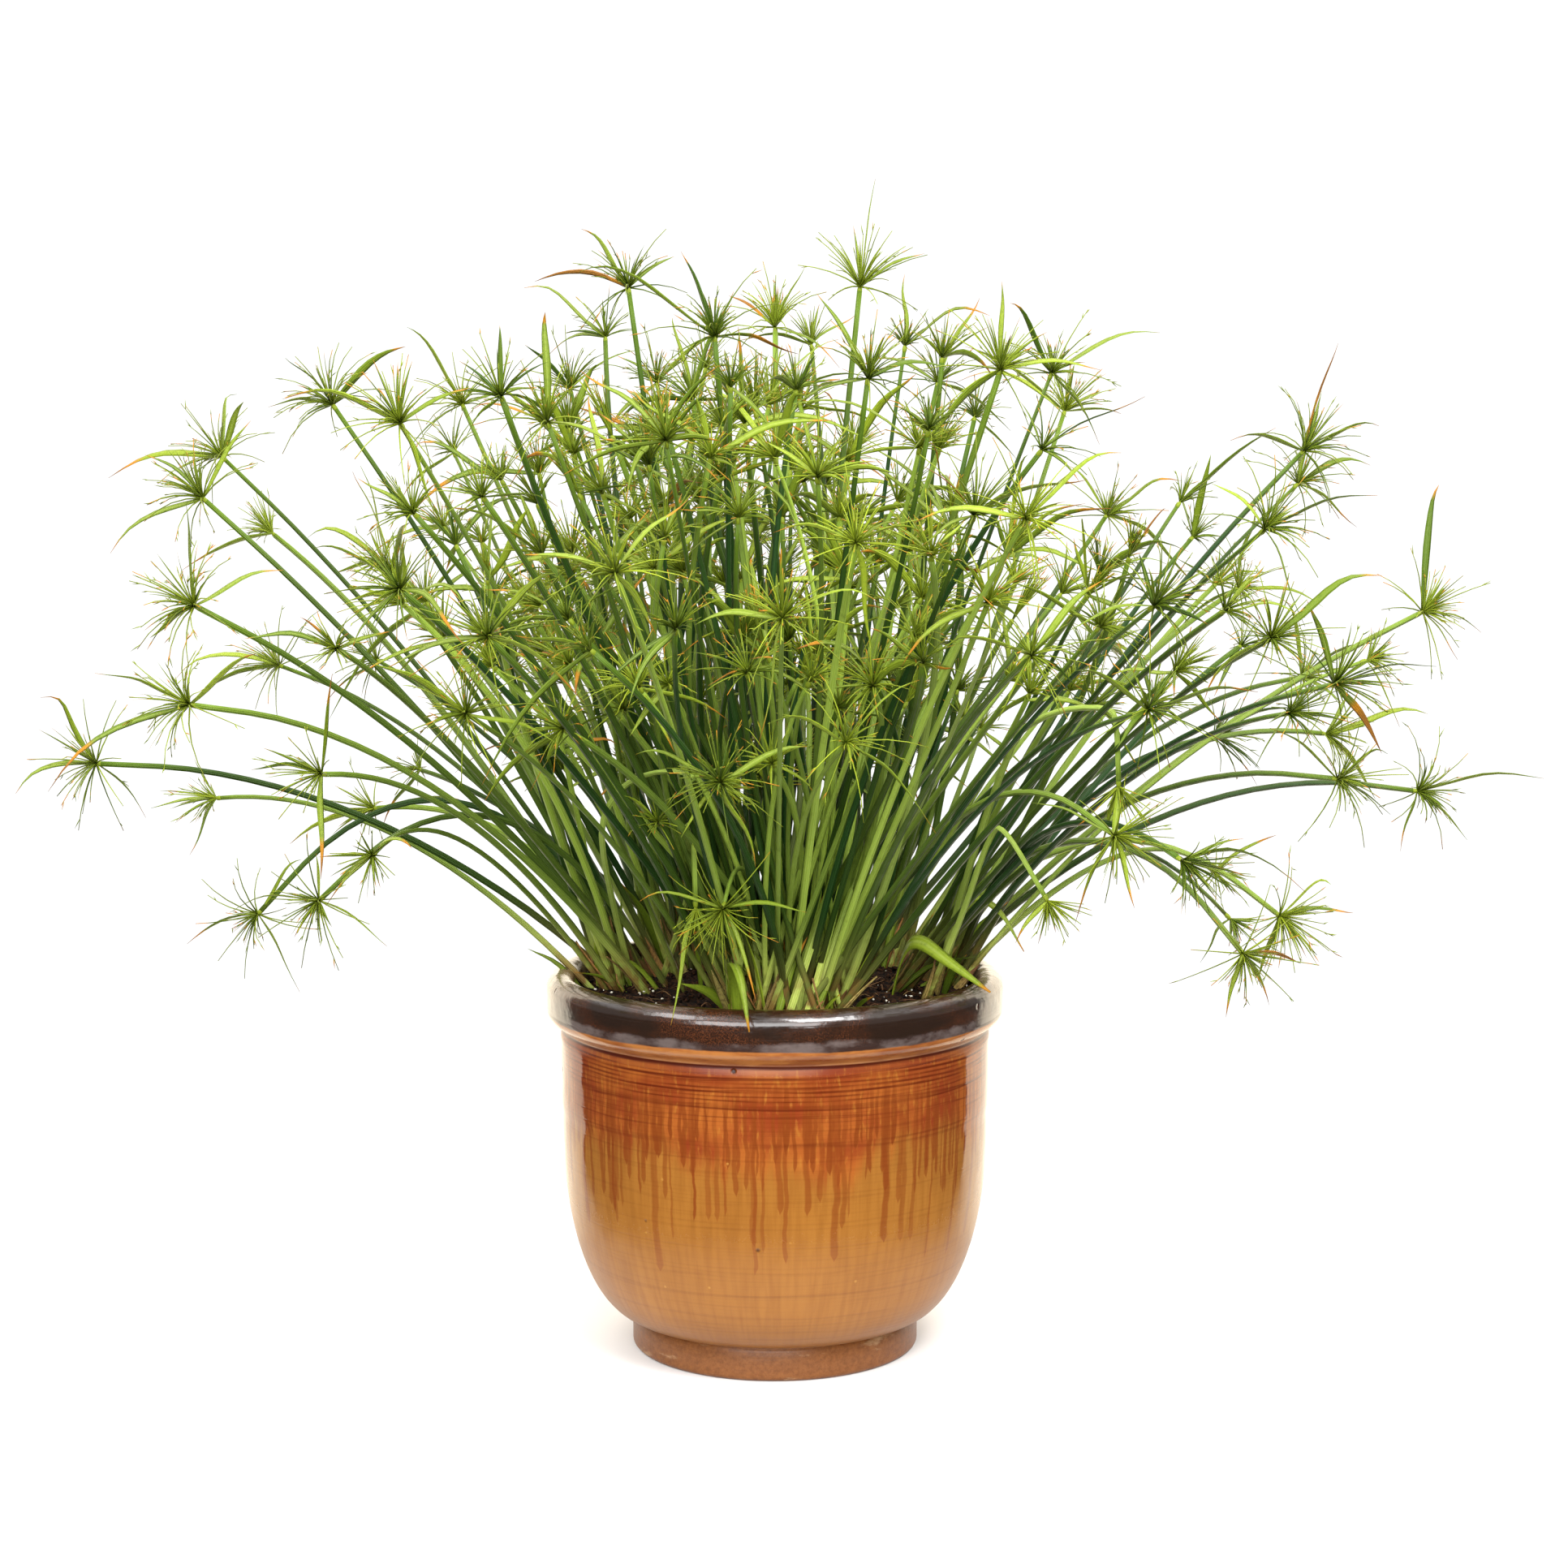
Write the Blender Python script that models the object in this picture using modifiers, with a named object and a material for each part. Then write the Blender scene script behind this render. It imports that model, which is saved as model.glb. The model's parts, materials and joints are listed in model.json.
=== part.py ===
"""A potted papyrus: a wheel-thrown glazed pot, its soil, and clumps of stems that each end in an umbel.

Metres, +Z up. The origin is on the pot's axis under its foot, and the photograph looks along +Y.
Each stem is one solid with the rays and bracts of its umbel. It starts as an icosphere, the umbel's hub:
one face is drawn down along the culm into the soil, and the others are drawn out into rays and bracts.
"""

import itertools
import math
import random

import bmesh
import bpy
import numpy as np
from mathutils import Matrix, Vector

MM = 0.001
CM = 0.01
UP = Vector((0, 0, 1))

# What touches keeps this gap.
GAP = 0.3 * MM

# Pot: a shell turned on the wheel, with a rolled rim, a straight wall, a round belly and a foot.
TURN_STEPS = 32
RIM_RADIUS = 150 * MM
RIM_TOP = 250 * MM
ROLL_RADIUS = 9.5 * MM
ROLL_DEPTH = 23 * MM
WALL_RADIUS = 140 * MM
WALL_THICKNESS = 9 * MM
BELLY_TOP = 160 * MM
BELLY_POWER = 2.3
NECK_RADIUS = 92.5 * MM
NECK_HEIGHT = 22.5 * MM
FOOT_RADIUS = 94.3 * MM
FOOT_BEVEL = 3.5 * MM
FLOOR_HEIGHT = 20 * MM

# Soil: fills the pot and is heaped a little under the stems.
SOIL_EDGE = 235 * MM
SOIL_MIDDLE = 241 * MM

# Stems: a culm has three sides and tapers up to its umbel.
CULM_BASE = 3.3 * MM
CULM_TOP = 2.2 * MM
CULM_STEPS = 7
ROOT_DEPTH = 20 * MM
COLLAR = 10 * MM
NATURAL_ARCH = 1.5 * CM
ROOT_SPACING = 10 * MM
ROOT_LIMIT = 118 * MM
ROOT_SPREAD = 0.2
CULM_MARGIN = 0.6 * MM
SWAYS = (0, 1, -1, 2, -2, 3, -3, 4, -4)
LIFTS = (0, 1, 2, -1)

# How little a clump cares whether an umbel is in front of it or behind, when the umbels are shared out.
SIDE_WEIGHT = 0.6

# An icosahedron's face, for a radius of 1: out to its corners, and in from it to the hub's middle.
FACE_CORNER = 0.607
FACE_DEPTH = 0.795

# Umbels: straight rays from the faces that look away from the culm, and long flat bracts.
RAY_LENGTH = 42 * MM
RAY_CONE = math.radians(50)
BRACT_WIDTH = 7 * MM
BRACT_THICKNESS = 1.2 * MM
SPIKE_MARGIN = 0.5 * MM

# The rim's owner number in the crowd, where each stem has its own.
RIM = -1

# Middle of each clump of culms at the soil, in centimetres.
CLUMPS = {
    "front": (0.8, -6.5),
    "left": (-8.3, 1.5),
    "right": (9.0, 2.5),
    "back_left": (-4.5, 7.5),
    "back_right": (4.8, 7.8),
}

# Each stem: the umbel's place, how far the culm arches above a straight line, and the tips of its bracts
# as (right, up) from the umbel, all in centimetres. Read from the photograph, with the depths estimated.
STEMS = (
    # Left edge, from the top down
    ((-37, 2, 55.5), 2, ((-4, 3), (3, 5), (-6, -3))),
    ((-33.5, -20, 50), 4, ((0, 6), (-3, -2), (5, 2))),
    ((-37.5, 12, 58), 3, ((-8, -1), (0, 5), (2, 4))),
    ((-43, -4, 39), 6, ((-5, -1), (3, -3), (-3, 5))),
    ((-33.5, -22, 44.5), 7, ((-8, -4), (-5, 2), (4, 3))),
    ((-35.5, 22, 43), 5, ((-6, -2), (-8, 0), (3, 4))),
    ((-34, 2, 28.5), 17, ((-5, -2), (2, -5), (3, 4))),
    ((-27.5, -14, 32), 14, ((0, 3), (-5, 0), (4, -3))),
    ((-17, -28, 44.5), 3, ((-3, -3), (5, -2), (-5, 3))),
    # Upper left
    ((-28.5, 2, 61.5), 2, ((-3, 3), (-4, 0), (5, 4))),
    ((-21, -24, 60.5), 2, ((4, 2), (-6, 2), (2, -5))),
    ((-22, 20, 61.5), 1, ((-4, 6), (6, 1), (-5, -4))),
    ((-13, -20, 60.5), 1, ((0, 7), (5, -2), (-5, 1))),
    ((-14, 14, 62.5), 1, ((-3, 3), (5, 3), (-5, -3))),
    ((-24.5, 30, 52.5), 2, ((-2, 9), (-6, -2), (4, 2))),
    ((-15.5, -31, 49), 3, ((-6, -2), (4, 4), (5, -3))),
    # Top
    ((-9.5, 4, 69), 0, ((-3, 4), (-6, 1), (3, 2))),
    ((-3.5, -14, 65.5), 1, ((-2, 5), (-9, 5), (5, -1))),
    ((0, 6, 66.5), 0, ((-3, 2), (2, 4), (4, -2))),
    ((-8.5, 24, 63), 0, ((-3, 2), (5, 4), (-4, -4))),
    ((-6, -25, 59.5), 1, ((-5, 4), (3, 0), (-6, -2))),
    ((-9.5, 32, 56.5), 0, ((-4, -3), (5, 3), (-6, 3))),
    ((5.5, 2, 69), 0, ((1, 7), (-2, 3), (4, 2))),
    ((5.5, -17, 63), 0, ((-3, 5), (5, 1), (-5, -2))),
    ((11.5, 22, 63), 1, ((3, 6), (-5, 2), (5, -3))),
    ((13, -20, 63.5), 1, ((0, 5), (6, 0), (-4, -4))),
    ((18, 4, 63.5), 1, ((7, 3), (-3, 5), (3, -4))),
    # Middle
    ((4.5, -30, 54), 2, ((-4, 1), (4, 1), (1, -6))),
    ((11, -29, 55.5), 2, ((-3, 3), (6, 2), (-5, -3))),
    ((13.5, -33, 55.5), 3, ((1, -4), (5, 4), (-6, 0))),
    ((24, 26, 53.5), 2, ((-3, 4), (7, -5), (5, 3))),
    ((12, -26, 50.5), 2, ((-2, 3), (2, -1), (-5, -3))),
    ((4, -25, 42.5), 3, ((-4, 2), (5, -4), (4, 4))),
    ((14, -31, 48), 4, ((3, -2), (-5, 1), (4, 4))),
    ((24, 30, 44), 3, ((4, -2), (-4, 4), (6, 3))),
    ((-8.5, -32, 52.5), 2, ((-5, 1), (2, -3), (4, 4))),
    ((-9, 34, 50.5), 0, ((8, 3), (-5, 2), (-3, -5))),
    ((0.5, -32, 50), 1, ((-5, 0), (5, 2), (-1, -6))),
    ((-3, -23, 40), 3, ((2, -5), (-5, 2), (5, 2))),
    ((-3, -17, 32), 7, ((2, -5), (-5, 1), (5, 0))),
    ((20, -18, 36.5), 12, ((-5, 2), (-2, -5), (1, -4))),
    # Right edge, from the top down
    ((34.5, 4, 58.5), 3, ((2, 7), (5, 2), (-5, 1))),
    ((36.5, 18, 56), 3, ((5, 2), (1, 6), (4, -3))),
    ((28, -22, 54.5), 4, ((6, 2), (-3, 3), (2, -5))),
    ((33, 22, 48.5), 4, ((1, 6), (6, -1), (-4, -3))),
    ((21, -28, 50.5), 4, ((-1, 3), (3, -1), (-5, -1))),
    ((28, -25, 48.5), 5, ((5, 7), (6, 4), (-4, -3))),
    ((38, 24, 42), 5, ((3, -2), (6, 3), (-1, 6))),
    ((32.5, -20, 45.5), 6, ((6, 1), (-2, 5), (3, -4))),
    ((20.5, -30, 45), 6, ((-2, -2), (6, 1), (-5, 3))),
    ((33.5, -16, 39.5), 8, ((3, 2), (3, -2), (-4, 3))),
    ((42, 2, 36.5), 8, ((8, 1), (-1, -4), (3, -3))),
    ((32.5, -2, 29), 12, ((-1, -5), (3, 3), (5, 0))),
    ((29, -10, 28), 14, ((2, -3), (4, -1), (-1, -4))),
    ((42.5, 4, 48), 3, ((1, 9), (2, -3), (4, -1))),
)

# Loose blades: width, and the line from the soil to the tip, in centimetres.
LEAVES = {
    "leaf_front": (
        0.8,
        ((-2.2, -9.6, 22.2), (-2.4, -10.6, 25.6), (-2.5, -12.6, 27.6), (-2.4, -15.2, 27), (-2.2, -16.3, 24.2)),
    ),
    "leaf_right": (
        1.2,
        ((7.0, -3.4, 22.2), (8.2, -3.9, 26.0), (9.9, -5.1, 27.9), (11.7, -6.5, 27.4), (13.2, -7.6, 25.9)),
    ),
    "leaf_outer": (
        0.9,
        ((11.2, 0.2, 22.2), (11.6, -0.6, 26.5), (12.6, -1.8, 29.8), (14.4, -3.2, 29.4), (16.0, -4.4, 26.9)),
    ),
}
LEAF_STEPS = 8
LEAF_THICKNESS = 1.2 * MM
LEAF_TIP = 0.12

# Colour, roughness and metallic value of each material.
GLAZE = ("glaze", (0.38, 0.16, 0.035, 1), 0.18, 0)
SOIL = ("soil", (0.022, 0.012, 0.008, 1), 0.95, 0)
STEM_GREEN = ("stem_green", (0.13, 0.26, 0.03, 1), 0.45, 0)
LEAF_GREEN = ("leaf_green", (0.12, 0.30, 0.03, 1), 0.45, 0)


def clear_scene():
    for obj in list(bpy.data.objects):
        bpy.data.objects.remove(obj)


def new_collection(name):
    collection = bpy.data.collections.new(name)
    bpy.context.scene.collection.children.link(collection)
    return collection


def material(name, colour, roughness, metallic):
    made = bpy.data.materials.get(name)
    if made is None:
        made = bpy.data.materials.new(name)
        made.use_nodes = True
        shader = made.node_tree.nodes["Principled BSDF"]
        shader.inputs["Base Color"].default_value = colour
        shader.inputs["Roughness"].default_value = roughness
        shader.inputs["Metallic"].default_value = metallic
    return made


def add_object(name, bm, collection, finish=None, location=(0, 0, 0)):
    """An object made of the bmesh, which it frees."""
    mesh = bpy.data.meshes.new(name)
    bm.to_mesh(mesh)
    bm.free()
    obj = bpy.data.objects.new(name, mesh)
    obj.location = location
    collection.objects.link(obj)
    if finish:
        mesh.materials.append(material(*finish))
    return obj


def add_cutter(name, bm, collection):
    cutter = add_object(name, bm, collection)
    cutter.hide_render = True
    cutter.display_type = "WIRE"
    return cutter


def turned(name, profile, collection, finish):
    """A solid of revolution. The profile is (radius, height) pairs that run down its outer side."""
    bm = bmesh.new()
    points = [bm.verts.new((radius, 0, height)) for radius, height in profile]
    for start, end in zip(points, points[1:]):
        bm.edges.new((start, end))
    obj = add_object(name, bm, collection, finish)
    screw = obj.modifiers.new("turn", "SCREW")
    screw.steps = screw.render_steps = TURN_STEPS
    screw.use_merge_vertices = True
    screw.merge_threshold = 0.01 * MM
    screw.use_smooth_shade = True
    return obj


def arc(centre, radius, start, end, steps):
    """Points along an arc in the profile's plane, with its angles in degrees."""
    angles = [math.radians(start + (end - start) * step / steps) for step in range(steps + 1)]
    return [(centre[0] + radius * math.cos(a), centre[1] + radius * math.sin(a)) for a in angles]


def belly(angle, inset=0.0):
    """Point on the belly, from 0 degrees at its top to 90 at the neck, moved in by the inset."""
    drop = math.sin(math.radians(angle))
    bulge = math.sqrt(max(0.0, 1 - drop**BELLY_POWER))
    radius = NECK_RADIUS + (WALL_RADIUS - NECK_RADIUS) * bulge
    height = BELLY_TOP - (BELLY_TOP - NECK_HEIGHT) * drop
    lean = math.radians(angle)
    return radius - inset * math.cos(lean) ** 0.5, height + inset * math.sin(lean)


def cavity(inset):
    """The inside of the pot from its floor up to the wall's top, moved in by the inset."""
    depth = WALL_THICKNESS + inset
    floor = [(0, FLOOR_HEIGHT + inset), (NECK_RADIUS - 2 * depth, FLOOR_HEIGHT + inset + 2 * MM)]
    return floor + [belly(angle, depth) for angle in (80, 55, 30, 0)]


def add_pot(collection):
    roll_middle = RIM_RADIUS - ROLL_RADIUS
    roll_top = RIM_TOP - ROLL_RADIUS
    profile = cavity(0)
    profile += arc((roll_middle, roll_top), ROLL_RADIUS, 180, 0, 5)
    profile += arc((roll_middle, roll_top - ROLL_DEPTH + ROLL_RADIUS), ROLL_RADIUS, 0, -65, 2)
    profile += [(WALL_RADIUS, roll_top - ROLL_DEPTH - 3 * MM), (WALL_RADIUS + 0.7 * MM, 190 * MM)]
    profile += [belly(90 * step / 8) for step in range(9)]
    profile += [
        (FOOT_RADIUS, NECK_HEIGHT - FOOT_BEVEL),
        (FOOT_RADIUS, FOOT_BEVEL),
        (FOOT_RADIUS - FOOT_BEVEL, 0),
        (0, 0),
    ]
    return turned("pot", profile, collection, GLAZE)


def soil_height(x, y):
    share = min(1.0, math.hypot(x, y) / (WALL_RADIUS - WALL_THICKNESS))
    return SOIL_EDGE + (SOIL_MIDDLE - SOIL_EDGE) * (1 - share**2)


def add_soil(collection, cutters):
    """The soil, cut by the sockets of the stems and the slots of the leaves."""
    wall = WALL_RADIUS - WALL_THICKNESS - GAP
    top = [(radius, soil_height(radius, 0)) for radius in (0, 0.5 * wall, wall)]
    soil = turned("soil", top + cavity(GAP)[::-1], collection, SOIL)
    for cutter in cutters:
        cut = soil.modifiers.new(cutter.name, "BOOLEAN")
        cut.operation = "DIFFERENCE"
        cut.solver = "EXACT"
        cut.object = cutter
    return soil


class Crowd:
    """The thin straight pieces placed so far, as capsules, to keep a new one clear of them."""

    def __init__(self):
        self.starts = np.empty((0, 3))
        self.ends = np.empty((0, 3))
        self.radii = np.empty(0)
        self.owners = np.empty(0, int)

    def add(self, points, radii, owner):
        points = np.array(points)
        self.starts = np.vstack([self.starts, points[:-1]])
        self.ends = np.vstack([self.ends, points[1:]])
        self.radii = np.append(self.radii, np.maximum(radii[:-1], radii[1:]))
        self.owners = np.append(self.owners, np.full(len(points) - 1, owner))

    def room(self, points, radii, owner, samples=10):
        """The narrowest space between a new line of capsules and every piece of another owner."""
        others = self.owners != owner
        if not others.any():
            return math.inf
        where = np.linspace(0, len(points) - 1, samples * (len(points) - 1) + 1)
        places = np.arange(len(points))
        points = np.array(points)
        line = np.stack([np.interp(where, places, points[:, axis]) for axis in range(3)], 1)
        thick = np.interp(where, places, radii)
        starts, span = self.starts[others], (self.ends - self.starts)[others]
        reach = line[:, None] - starts[None]
        share = np.clip((reach * span).sum(2) / (span**2).sum(1), 0, 1)
        distance = np.linalg.norm(reach - share[..., None] * span, axis=2)
        return (distance - self.radii[others] - thick[:, None]).min()


def crowd_round_rim():
    """A crowd that starts with the rim's roll, so that nothing grows through it."""
    crowd = Crowd()
    turns = [math.tau * step / TURN_STEPS for step in range(TURN_STEPS + 1)]
    for height in (RIM_TOP - ROLL_RADIUS, RIM_TOP - ROLL_DEPTH):
        radius = RIM_RADIUS - ROLL_RADIUS
        ring = [(radius * math.cos(turn), radius * math.sin(turn), height) for turn in turns]
        crowd.add(ring, np.full(len(ring), ROLL_RADIUS), RIM)
    return crowd


def clump_of(head):
    """The clump whose place best suits a culm that leans out to this umbel."""
    away = {}
    for name, (x, y) in CLUMPS.items():
        away[name] = math.hypot(head[0] / 4 - x, (head[1] / 4 - y) * SIDE_WEIGHT)
    return min(away, key=away.get)


def roots_of(heads):
    """Where each culm leaves the soil: spread in its clump as the umbels are, and clear of the others."""
    clumps = [clump_of(head) for head in heads]
    roots = []
    for head, clump in zip(heads, clumps):
        same = [Vector(other[:2]) for other, its in zip(heads, clumps) if its == clump]
        middle = sum(same, Vector((0, 0))) / len(same)
        roots.append((Vector(CLUMPS[clump]) + (Vector(head[:2]) - middle) * ROOT_SPREAD) * CM)
    for _ in range(200):
        for i, a in enumerate(roots):
            for b in roots[i + 1 :]:
                apart = a - b
                if apart.length < ROOT_SPACING:
                    push = apart.normalized() * (ROOT_SPACING - apart.length) / 2
                    a += push
                    b -= push
        for root in roots:
            if root.length > ROOT_LIMIT:
                root *= ROOT_LIMIT / root.length
    return roots


def culm_line(root, head, arch, sway):
    """Points along a culm, from its end in the soil to under the umbel."""
    ground = Vector((root.x, root.y, soil_height(*root)))
    across = (head - ground).cross(UP).normalized()
    bend = (ground + head) / 2 + UP * arch + across * sway
    start = (bend - ground).normalized()
    line = [ground - start * ROOT_DEPTH]
    collar = ground + start * COLLAR
    for step in range(CULM_STEPS):
        t = step / (CULM_STEPS - 1)
        line.append(collar * (1 - t) ** 2 + bend * 2 * t * (1 - t) + head * t**2)
    return line


def culm_radii():
    return [CULM_BASE] * 2 + [
        CULM_BASE + (CULM_TOP - CULM_BASE) * step / (CULM_STEPS - 1) for step in range(1, CULM_STEPS)
    ]


def place_culms(crowd):
    """The line of every culm, swayed sideways where a straight one would meet a neighbour."""
    heads = [stem[0] for stem in STEMS]
    lines = []
    for index, (root, (head, arch, _)) in enumerate(zip(roots_of(heads), STEMS)):
        tries = []
        for lift, sway in itertools.product(LIFTS, SWAYS):
            line = culm_line(root, Vector(head) * CM, (arch + lift) * CM + NATURAL_ARCH, sway * CM)
            room = crowd.room(line, culm_radii(), index)
            tries.append((room, line))
            if room > CULM_MARGIN:
                break
        line = max(tries, key=lambda pair: pair[0])[1]
        crowd.add(line, culm_radii(), index)
        lines.append(line)
    return lines


def direction_at(line, index):
    """The way the culm runs at one of its points."""
    before = line[max(0, index - 1)]
    after = line[min(len(line) - 1, index + 1)]
    if index == 1:
        after = line[1] * 2 - line[0]
    return (after - before).normalized()


def section_frame(line, index):
    """The frame of the culm's section at a point of its line: X square to the bend, Z along the culm."""
    along = direction_at(line, index)
    across = (line[-1] - line[0]).cross(UP)
    across = (across - along * across.dot(along)).normalized()
    frame = Matrix((across, along.cross(across), along)).transposed().to_4x4()
    frame.translation = line[index]
    return frame


def corner(frame, radius, angle):
    return frame @ Vector((radius * math.cos(angle), radius * math.sin(angle), 0))


def add_hub(bm, frame, spin):
    """An icosphere on the culm's end. Returns its middle and the face that the culm grows from."""
    radius = CULM_TOP / FACE_CORNER
    bmesh.ops.create_icosphere(bm, subdivisions=1, radius=radius)
    face = min(bm.faces, key=lambda face: face.normal.z)
    upright = face.normal.rotation_difference(-UP).to_matrix().to_4x4()
    lift = Matrix.Translation(UP * FACE_DEPTH * radius)
    turn = Matrix.Rotation(spin, 4, "Z")
    bmesh.ops.transform(bm, matrix=frame @ turn @ lift @ upright, verts=bm.verts)
    bm.normal_update()
    return frame @ (UP * FACE_DEPTH * radius), face


def draw_culm(bm, face, line):
    """Draws the hub's face down along the line, ring by ring. Returns the angle of one of its corners."""
    top = section_frame(line, len(line) - 1).inverted()
    angles = [math.atan2(spoke.y, spoke.x) for spoke in (top @ vert.co for vert in face.verts)]
    for index, radius in reversed(list(enumerate(culm_radii()[:-1]))):
        face = bmesh.ops.extrude_discrete_faces(bm, faces=[face])["faces"][0]
        frame = section_frame(line, index)
        for vert, angle in zip(face.verts, angles):
            vert.co = corner(frame, radius, angle)
    return angles[0]


def draw_ray(bm, face, tip):
    point = bmesh.ops.poke(bm, faces=[face])["verts"][0]
    point.co = tip


def bract_bend(start, tip):
    """Where a bract is widest: halfway, and arched up a little."""
    return (start + tip) / 2 + UP * (tip - start).length * 0.09


def draw_bract(bm, face, tip):
    """Draws a face out into a flat blade with a point."""
    start = face.calc_center_median()
    bend = bract_bend(start, tip)
    wide = (tip - start).cross(UP).normalized()
    flat = (tip - start).normalized().cross(wide)
    face = bmesh.ops.extrude_discrete_faces(bm, faces=[face])["faces"][0]
    left, keel, right = sorted(face.verts, key=lambda vert: vert.co.dot(wide))
    side = 1 if (keel.co - start).dot(flat) > 0 else -1
    left.co = bend - wide * BRACT_WIDTH / 2
    right.co = bend + wide * BRACT_WIDTH / 2
    keel.co = bend + flat * side * BRACT_THICKNESS
    draw_ray(bm, face, tip)


def draw_umbel(bm, middle, culm_way, bracts, crowd, owner):
    """Bracts to the places given, and a ray from each other face that looks away from the culm."""
    choose = random.Random(owner)
    hub_radius = CULM_TOP / FACE_CORNER
    free = [face for face in bm.faces if (face.calc_center_median() - middle).length < hub_radius]
    for right, up in bracts:
        tip = middle + Vector((right, choose.uniform(-2.5, 2.5), up)) * CM
        way = (tip - middle).normalized()
        face = max(free, key=lambda face: face.normal.dot(way))
        start = face.calc_center_median()
        for shorter in (1, 0.85, 0.7, 0.55):
            end = start + (tip - start) * shorter
            points = [start, bract_bend(start, end), end]
            radii = [CULM_TOP, BRACT_WIDTH / 2, 0]
            if crowd.room(points, radii, owner) > SPIKE_MARGIN:
                free.remove(face)
                draw_bract(bm, face, end)
                crowd.add(points, radii, owner)
                break
    for face in free:
        length = RAY_LENGTH * choose.uniform(0.85, 1.08)
        jitter = Vector([choose.uniform(-0.2, 0.2) for _ in range(3)])
        if face.normal.angle(-culm_way) < RAY_CONE:
            continue
        start = face.calc_center_median()
        tip = start + (face.normal + jitter).normalized() * length
        if crowd.room([start, tip], [CULM_TOP, 0], owner) > SPIKE_MARGIN:
            draw_ray(bm, face, tip)
            crowd.add([start, tip], [CULM_TOP, 0], owner)


def add_socket(bm, line, angle):
    """A prism round the culm's end, wider than it by the gap on every side."""
    depth = (line[1] - line[0]).length + GAP
    radius = CULM_BASE + 2 * GAP
    prism = bmesh.ops.create_cone(
        bm, cap_ends=True, segments=3, radius1=radius, radius2=radius, depth=depth
    )
    first = prism["verts"][0].co
    turn = Matrix.Rotation(angle - math.atan2(first.y, first.x), 4, "Z")
    sink = Matrix.Translation(UP * (depth / 2 - GAP))
    bmesh.ops.transform(bm, matrix=section_frame(line, 0) @ turn @ sink, verts=prism["verts"])


def leaf_line(points):
    """Stations along a leaf, on a smooth curve through its points."""
    points = [Vector(point) * CM for point in points]
    ends = [points[0] * 2 - points[1]] + points + [points[-1] * 2 - points[-2]]
    stations = []
    for step in range(LEAF_STEPS + 1):
        where = step / LEAF_STEPS * (len(points) - 1)
        index = min(int(where), len(points) - 2)
        t = where - index
        a, b, c, d = ends[index : index + 4]
        bend = (a * 2 - b * 5 + c * 4 - d) * t**2 + (b * 3 - a - c * 3 + d) * t**3
        stations.append((b * 2 + (c - a) * t + bend) / 2)
    return stations


def leaf_widths(width):
    """Half the leaf's width at each station: narrow at the soil, full at a third, and a pointed tip."""
    halves = []
    for step in range(LEAF_STEPS + 1):
        t = step / LEAF_STEPS
        taper = 1 - max(0.0, t - 0.45) ** 1.6 * 2.2
        halves.append(width / 2 * max(LEAF_TIP, min(0.6 + 1.2 * t, taper)))
    return halves


def draw_leaf(bm, width, points, grow=0.0):
    """A flat strip along the leaf's line, one station after another."""
    line = leaf_line(points)
    across = (line[-1] - line[0]).cross(UP).normalized()
    halves = leaf_widths(width * CM)
    line[0] = line[0] - (line[1] - line[0]).normalized() * grow
    left = [bm.verts.new(point - across * (half + grow)) for point, half in zip(line, halves)]
    right = [bm.verts.new(point + across * (half + grow)) for point, half in zip(line, halves)]
    bmesh.ops.bridge_loops(bm, edges=strip_edges(bm, left) + strip_edges(bm, right))


def strip_edges(bm, verts):
    return [bm.edges.new(pair) for pair in zip(verts, verts[1:])]


def thicken(obj, thickness):
    shell = obj.modifiers.new("thickness", "SOLIDIFY")
    shell.thickness = thickness
    shell.offset = 0
    return shell


def add_leaves(collection, cutters, crowd):
    """The leaves, each with a cutter for its slot in the soil."""
    slots = []
    for owner, (name, (width, points)) in enumerate(LEAVES.items(), start=len(STEMS)):
        bm = bmesh.new()
        draw_leaf(bm, width, points)
        thicken(add_object(name, bm, collection, LEAF_GREEN), LEAF_THICKNESS)
        bm = bmesh.new()
        draw_leaf(bm, width, points, GAP)
        slot = add_cutter(name + "_slot", bm, cutters)
        thicken(slot, LEAF_THICKNESS + 2 * GAP)
        slots.append(slot)
        crowd.add(leaf_line(points), np.array(leaf_widths(width * CM)) + LEAF_THICKNESS, owner)
    return slots


def add_stems(collection, cutters, crowd):
    """Every stem, and one cutter with all of their sockets."""
    sockets = bmesh.new()
    counts = dict.fromkeys(CLUMPS, 0)
    for owner, (line, (head, _, bracts)) in enumerate(zip(place_culms(crowd), STEMS)):
        bm = bmesh.new()
        spin = random.Random(owner + 0.5).uniform(0, math.tau)
        middle, face = add_hub(bm, section_frame(line, len(line) - 1), spin)
        culm_way = direction_at(line, len(line) - 1)
        angle = draw_culm(bm, face, line)
        bm.normal_update()
        draw_umbel(bm, middle, culm_way, bracts, crowd, owner)
        add_socket(sockets, line, angle)
        clump = clump_of(head)
        counts[clump] += 1
        bmesh.ops.translate(bm, vec=-line[1], verts=bm.verts)
        add_object(f"stem_{clump}_{counts[clump]:02d}", bm, collection, STEM_GREEN, line[1])
    return add_cutter("sockets", sockets, cutters)


def main():
    clear_scene()
    parts = new_collection("potted_papyrus")
    cutters = new_collection("cutters")
    crowd = crowd_round_rim()
    slots = add_leaves(parts, cutters, crowd)
    sockets = add_stems(parts, cutters, crowd)
    add_pot(parts)
    add_soil(parts, [sockets] + slots)


main()
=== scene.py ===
"""Looks of the potted papyrus: the stems with their full umbels, the glazed pot and the soil, in a studio.

Each CAD stem is read from the frame and stood for by a detailed one on the same line, with its bracts and
longest rays at the same tips. Further stems, too many for the solids, fill the clumps between them.
"""

import json
import math
import random

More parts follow.
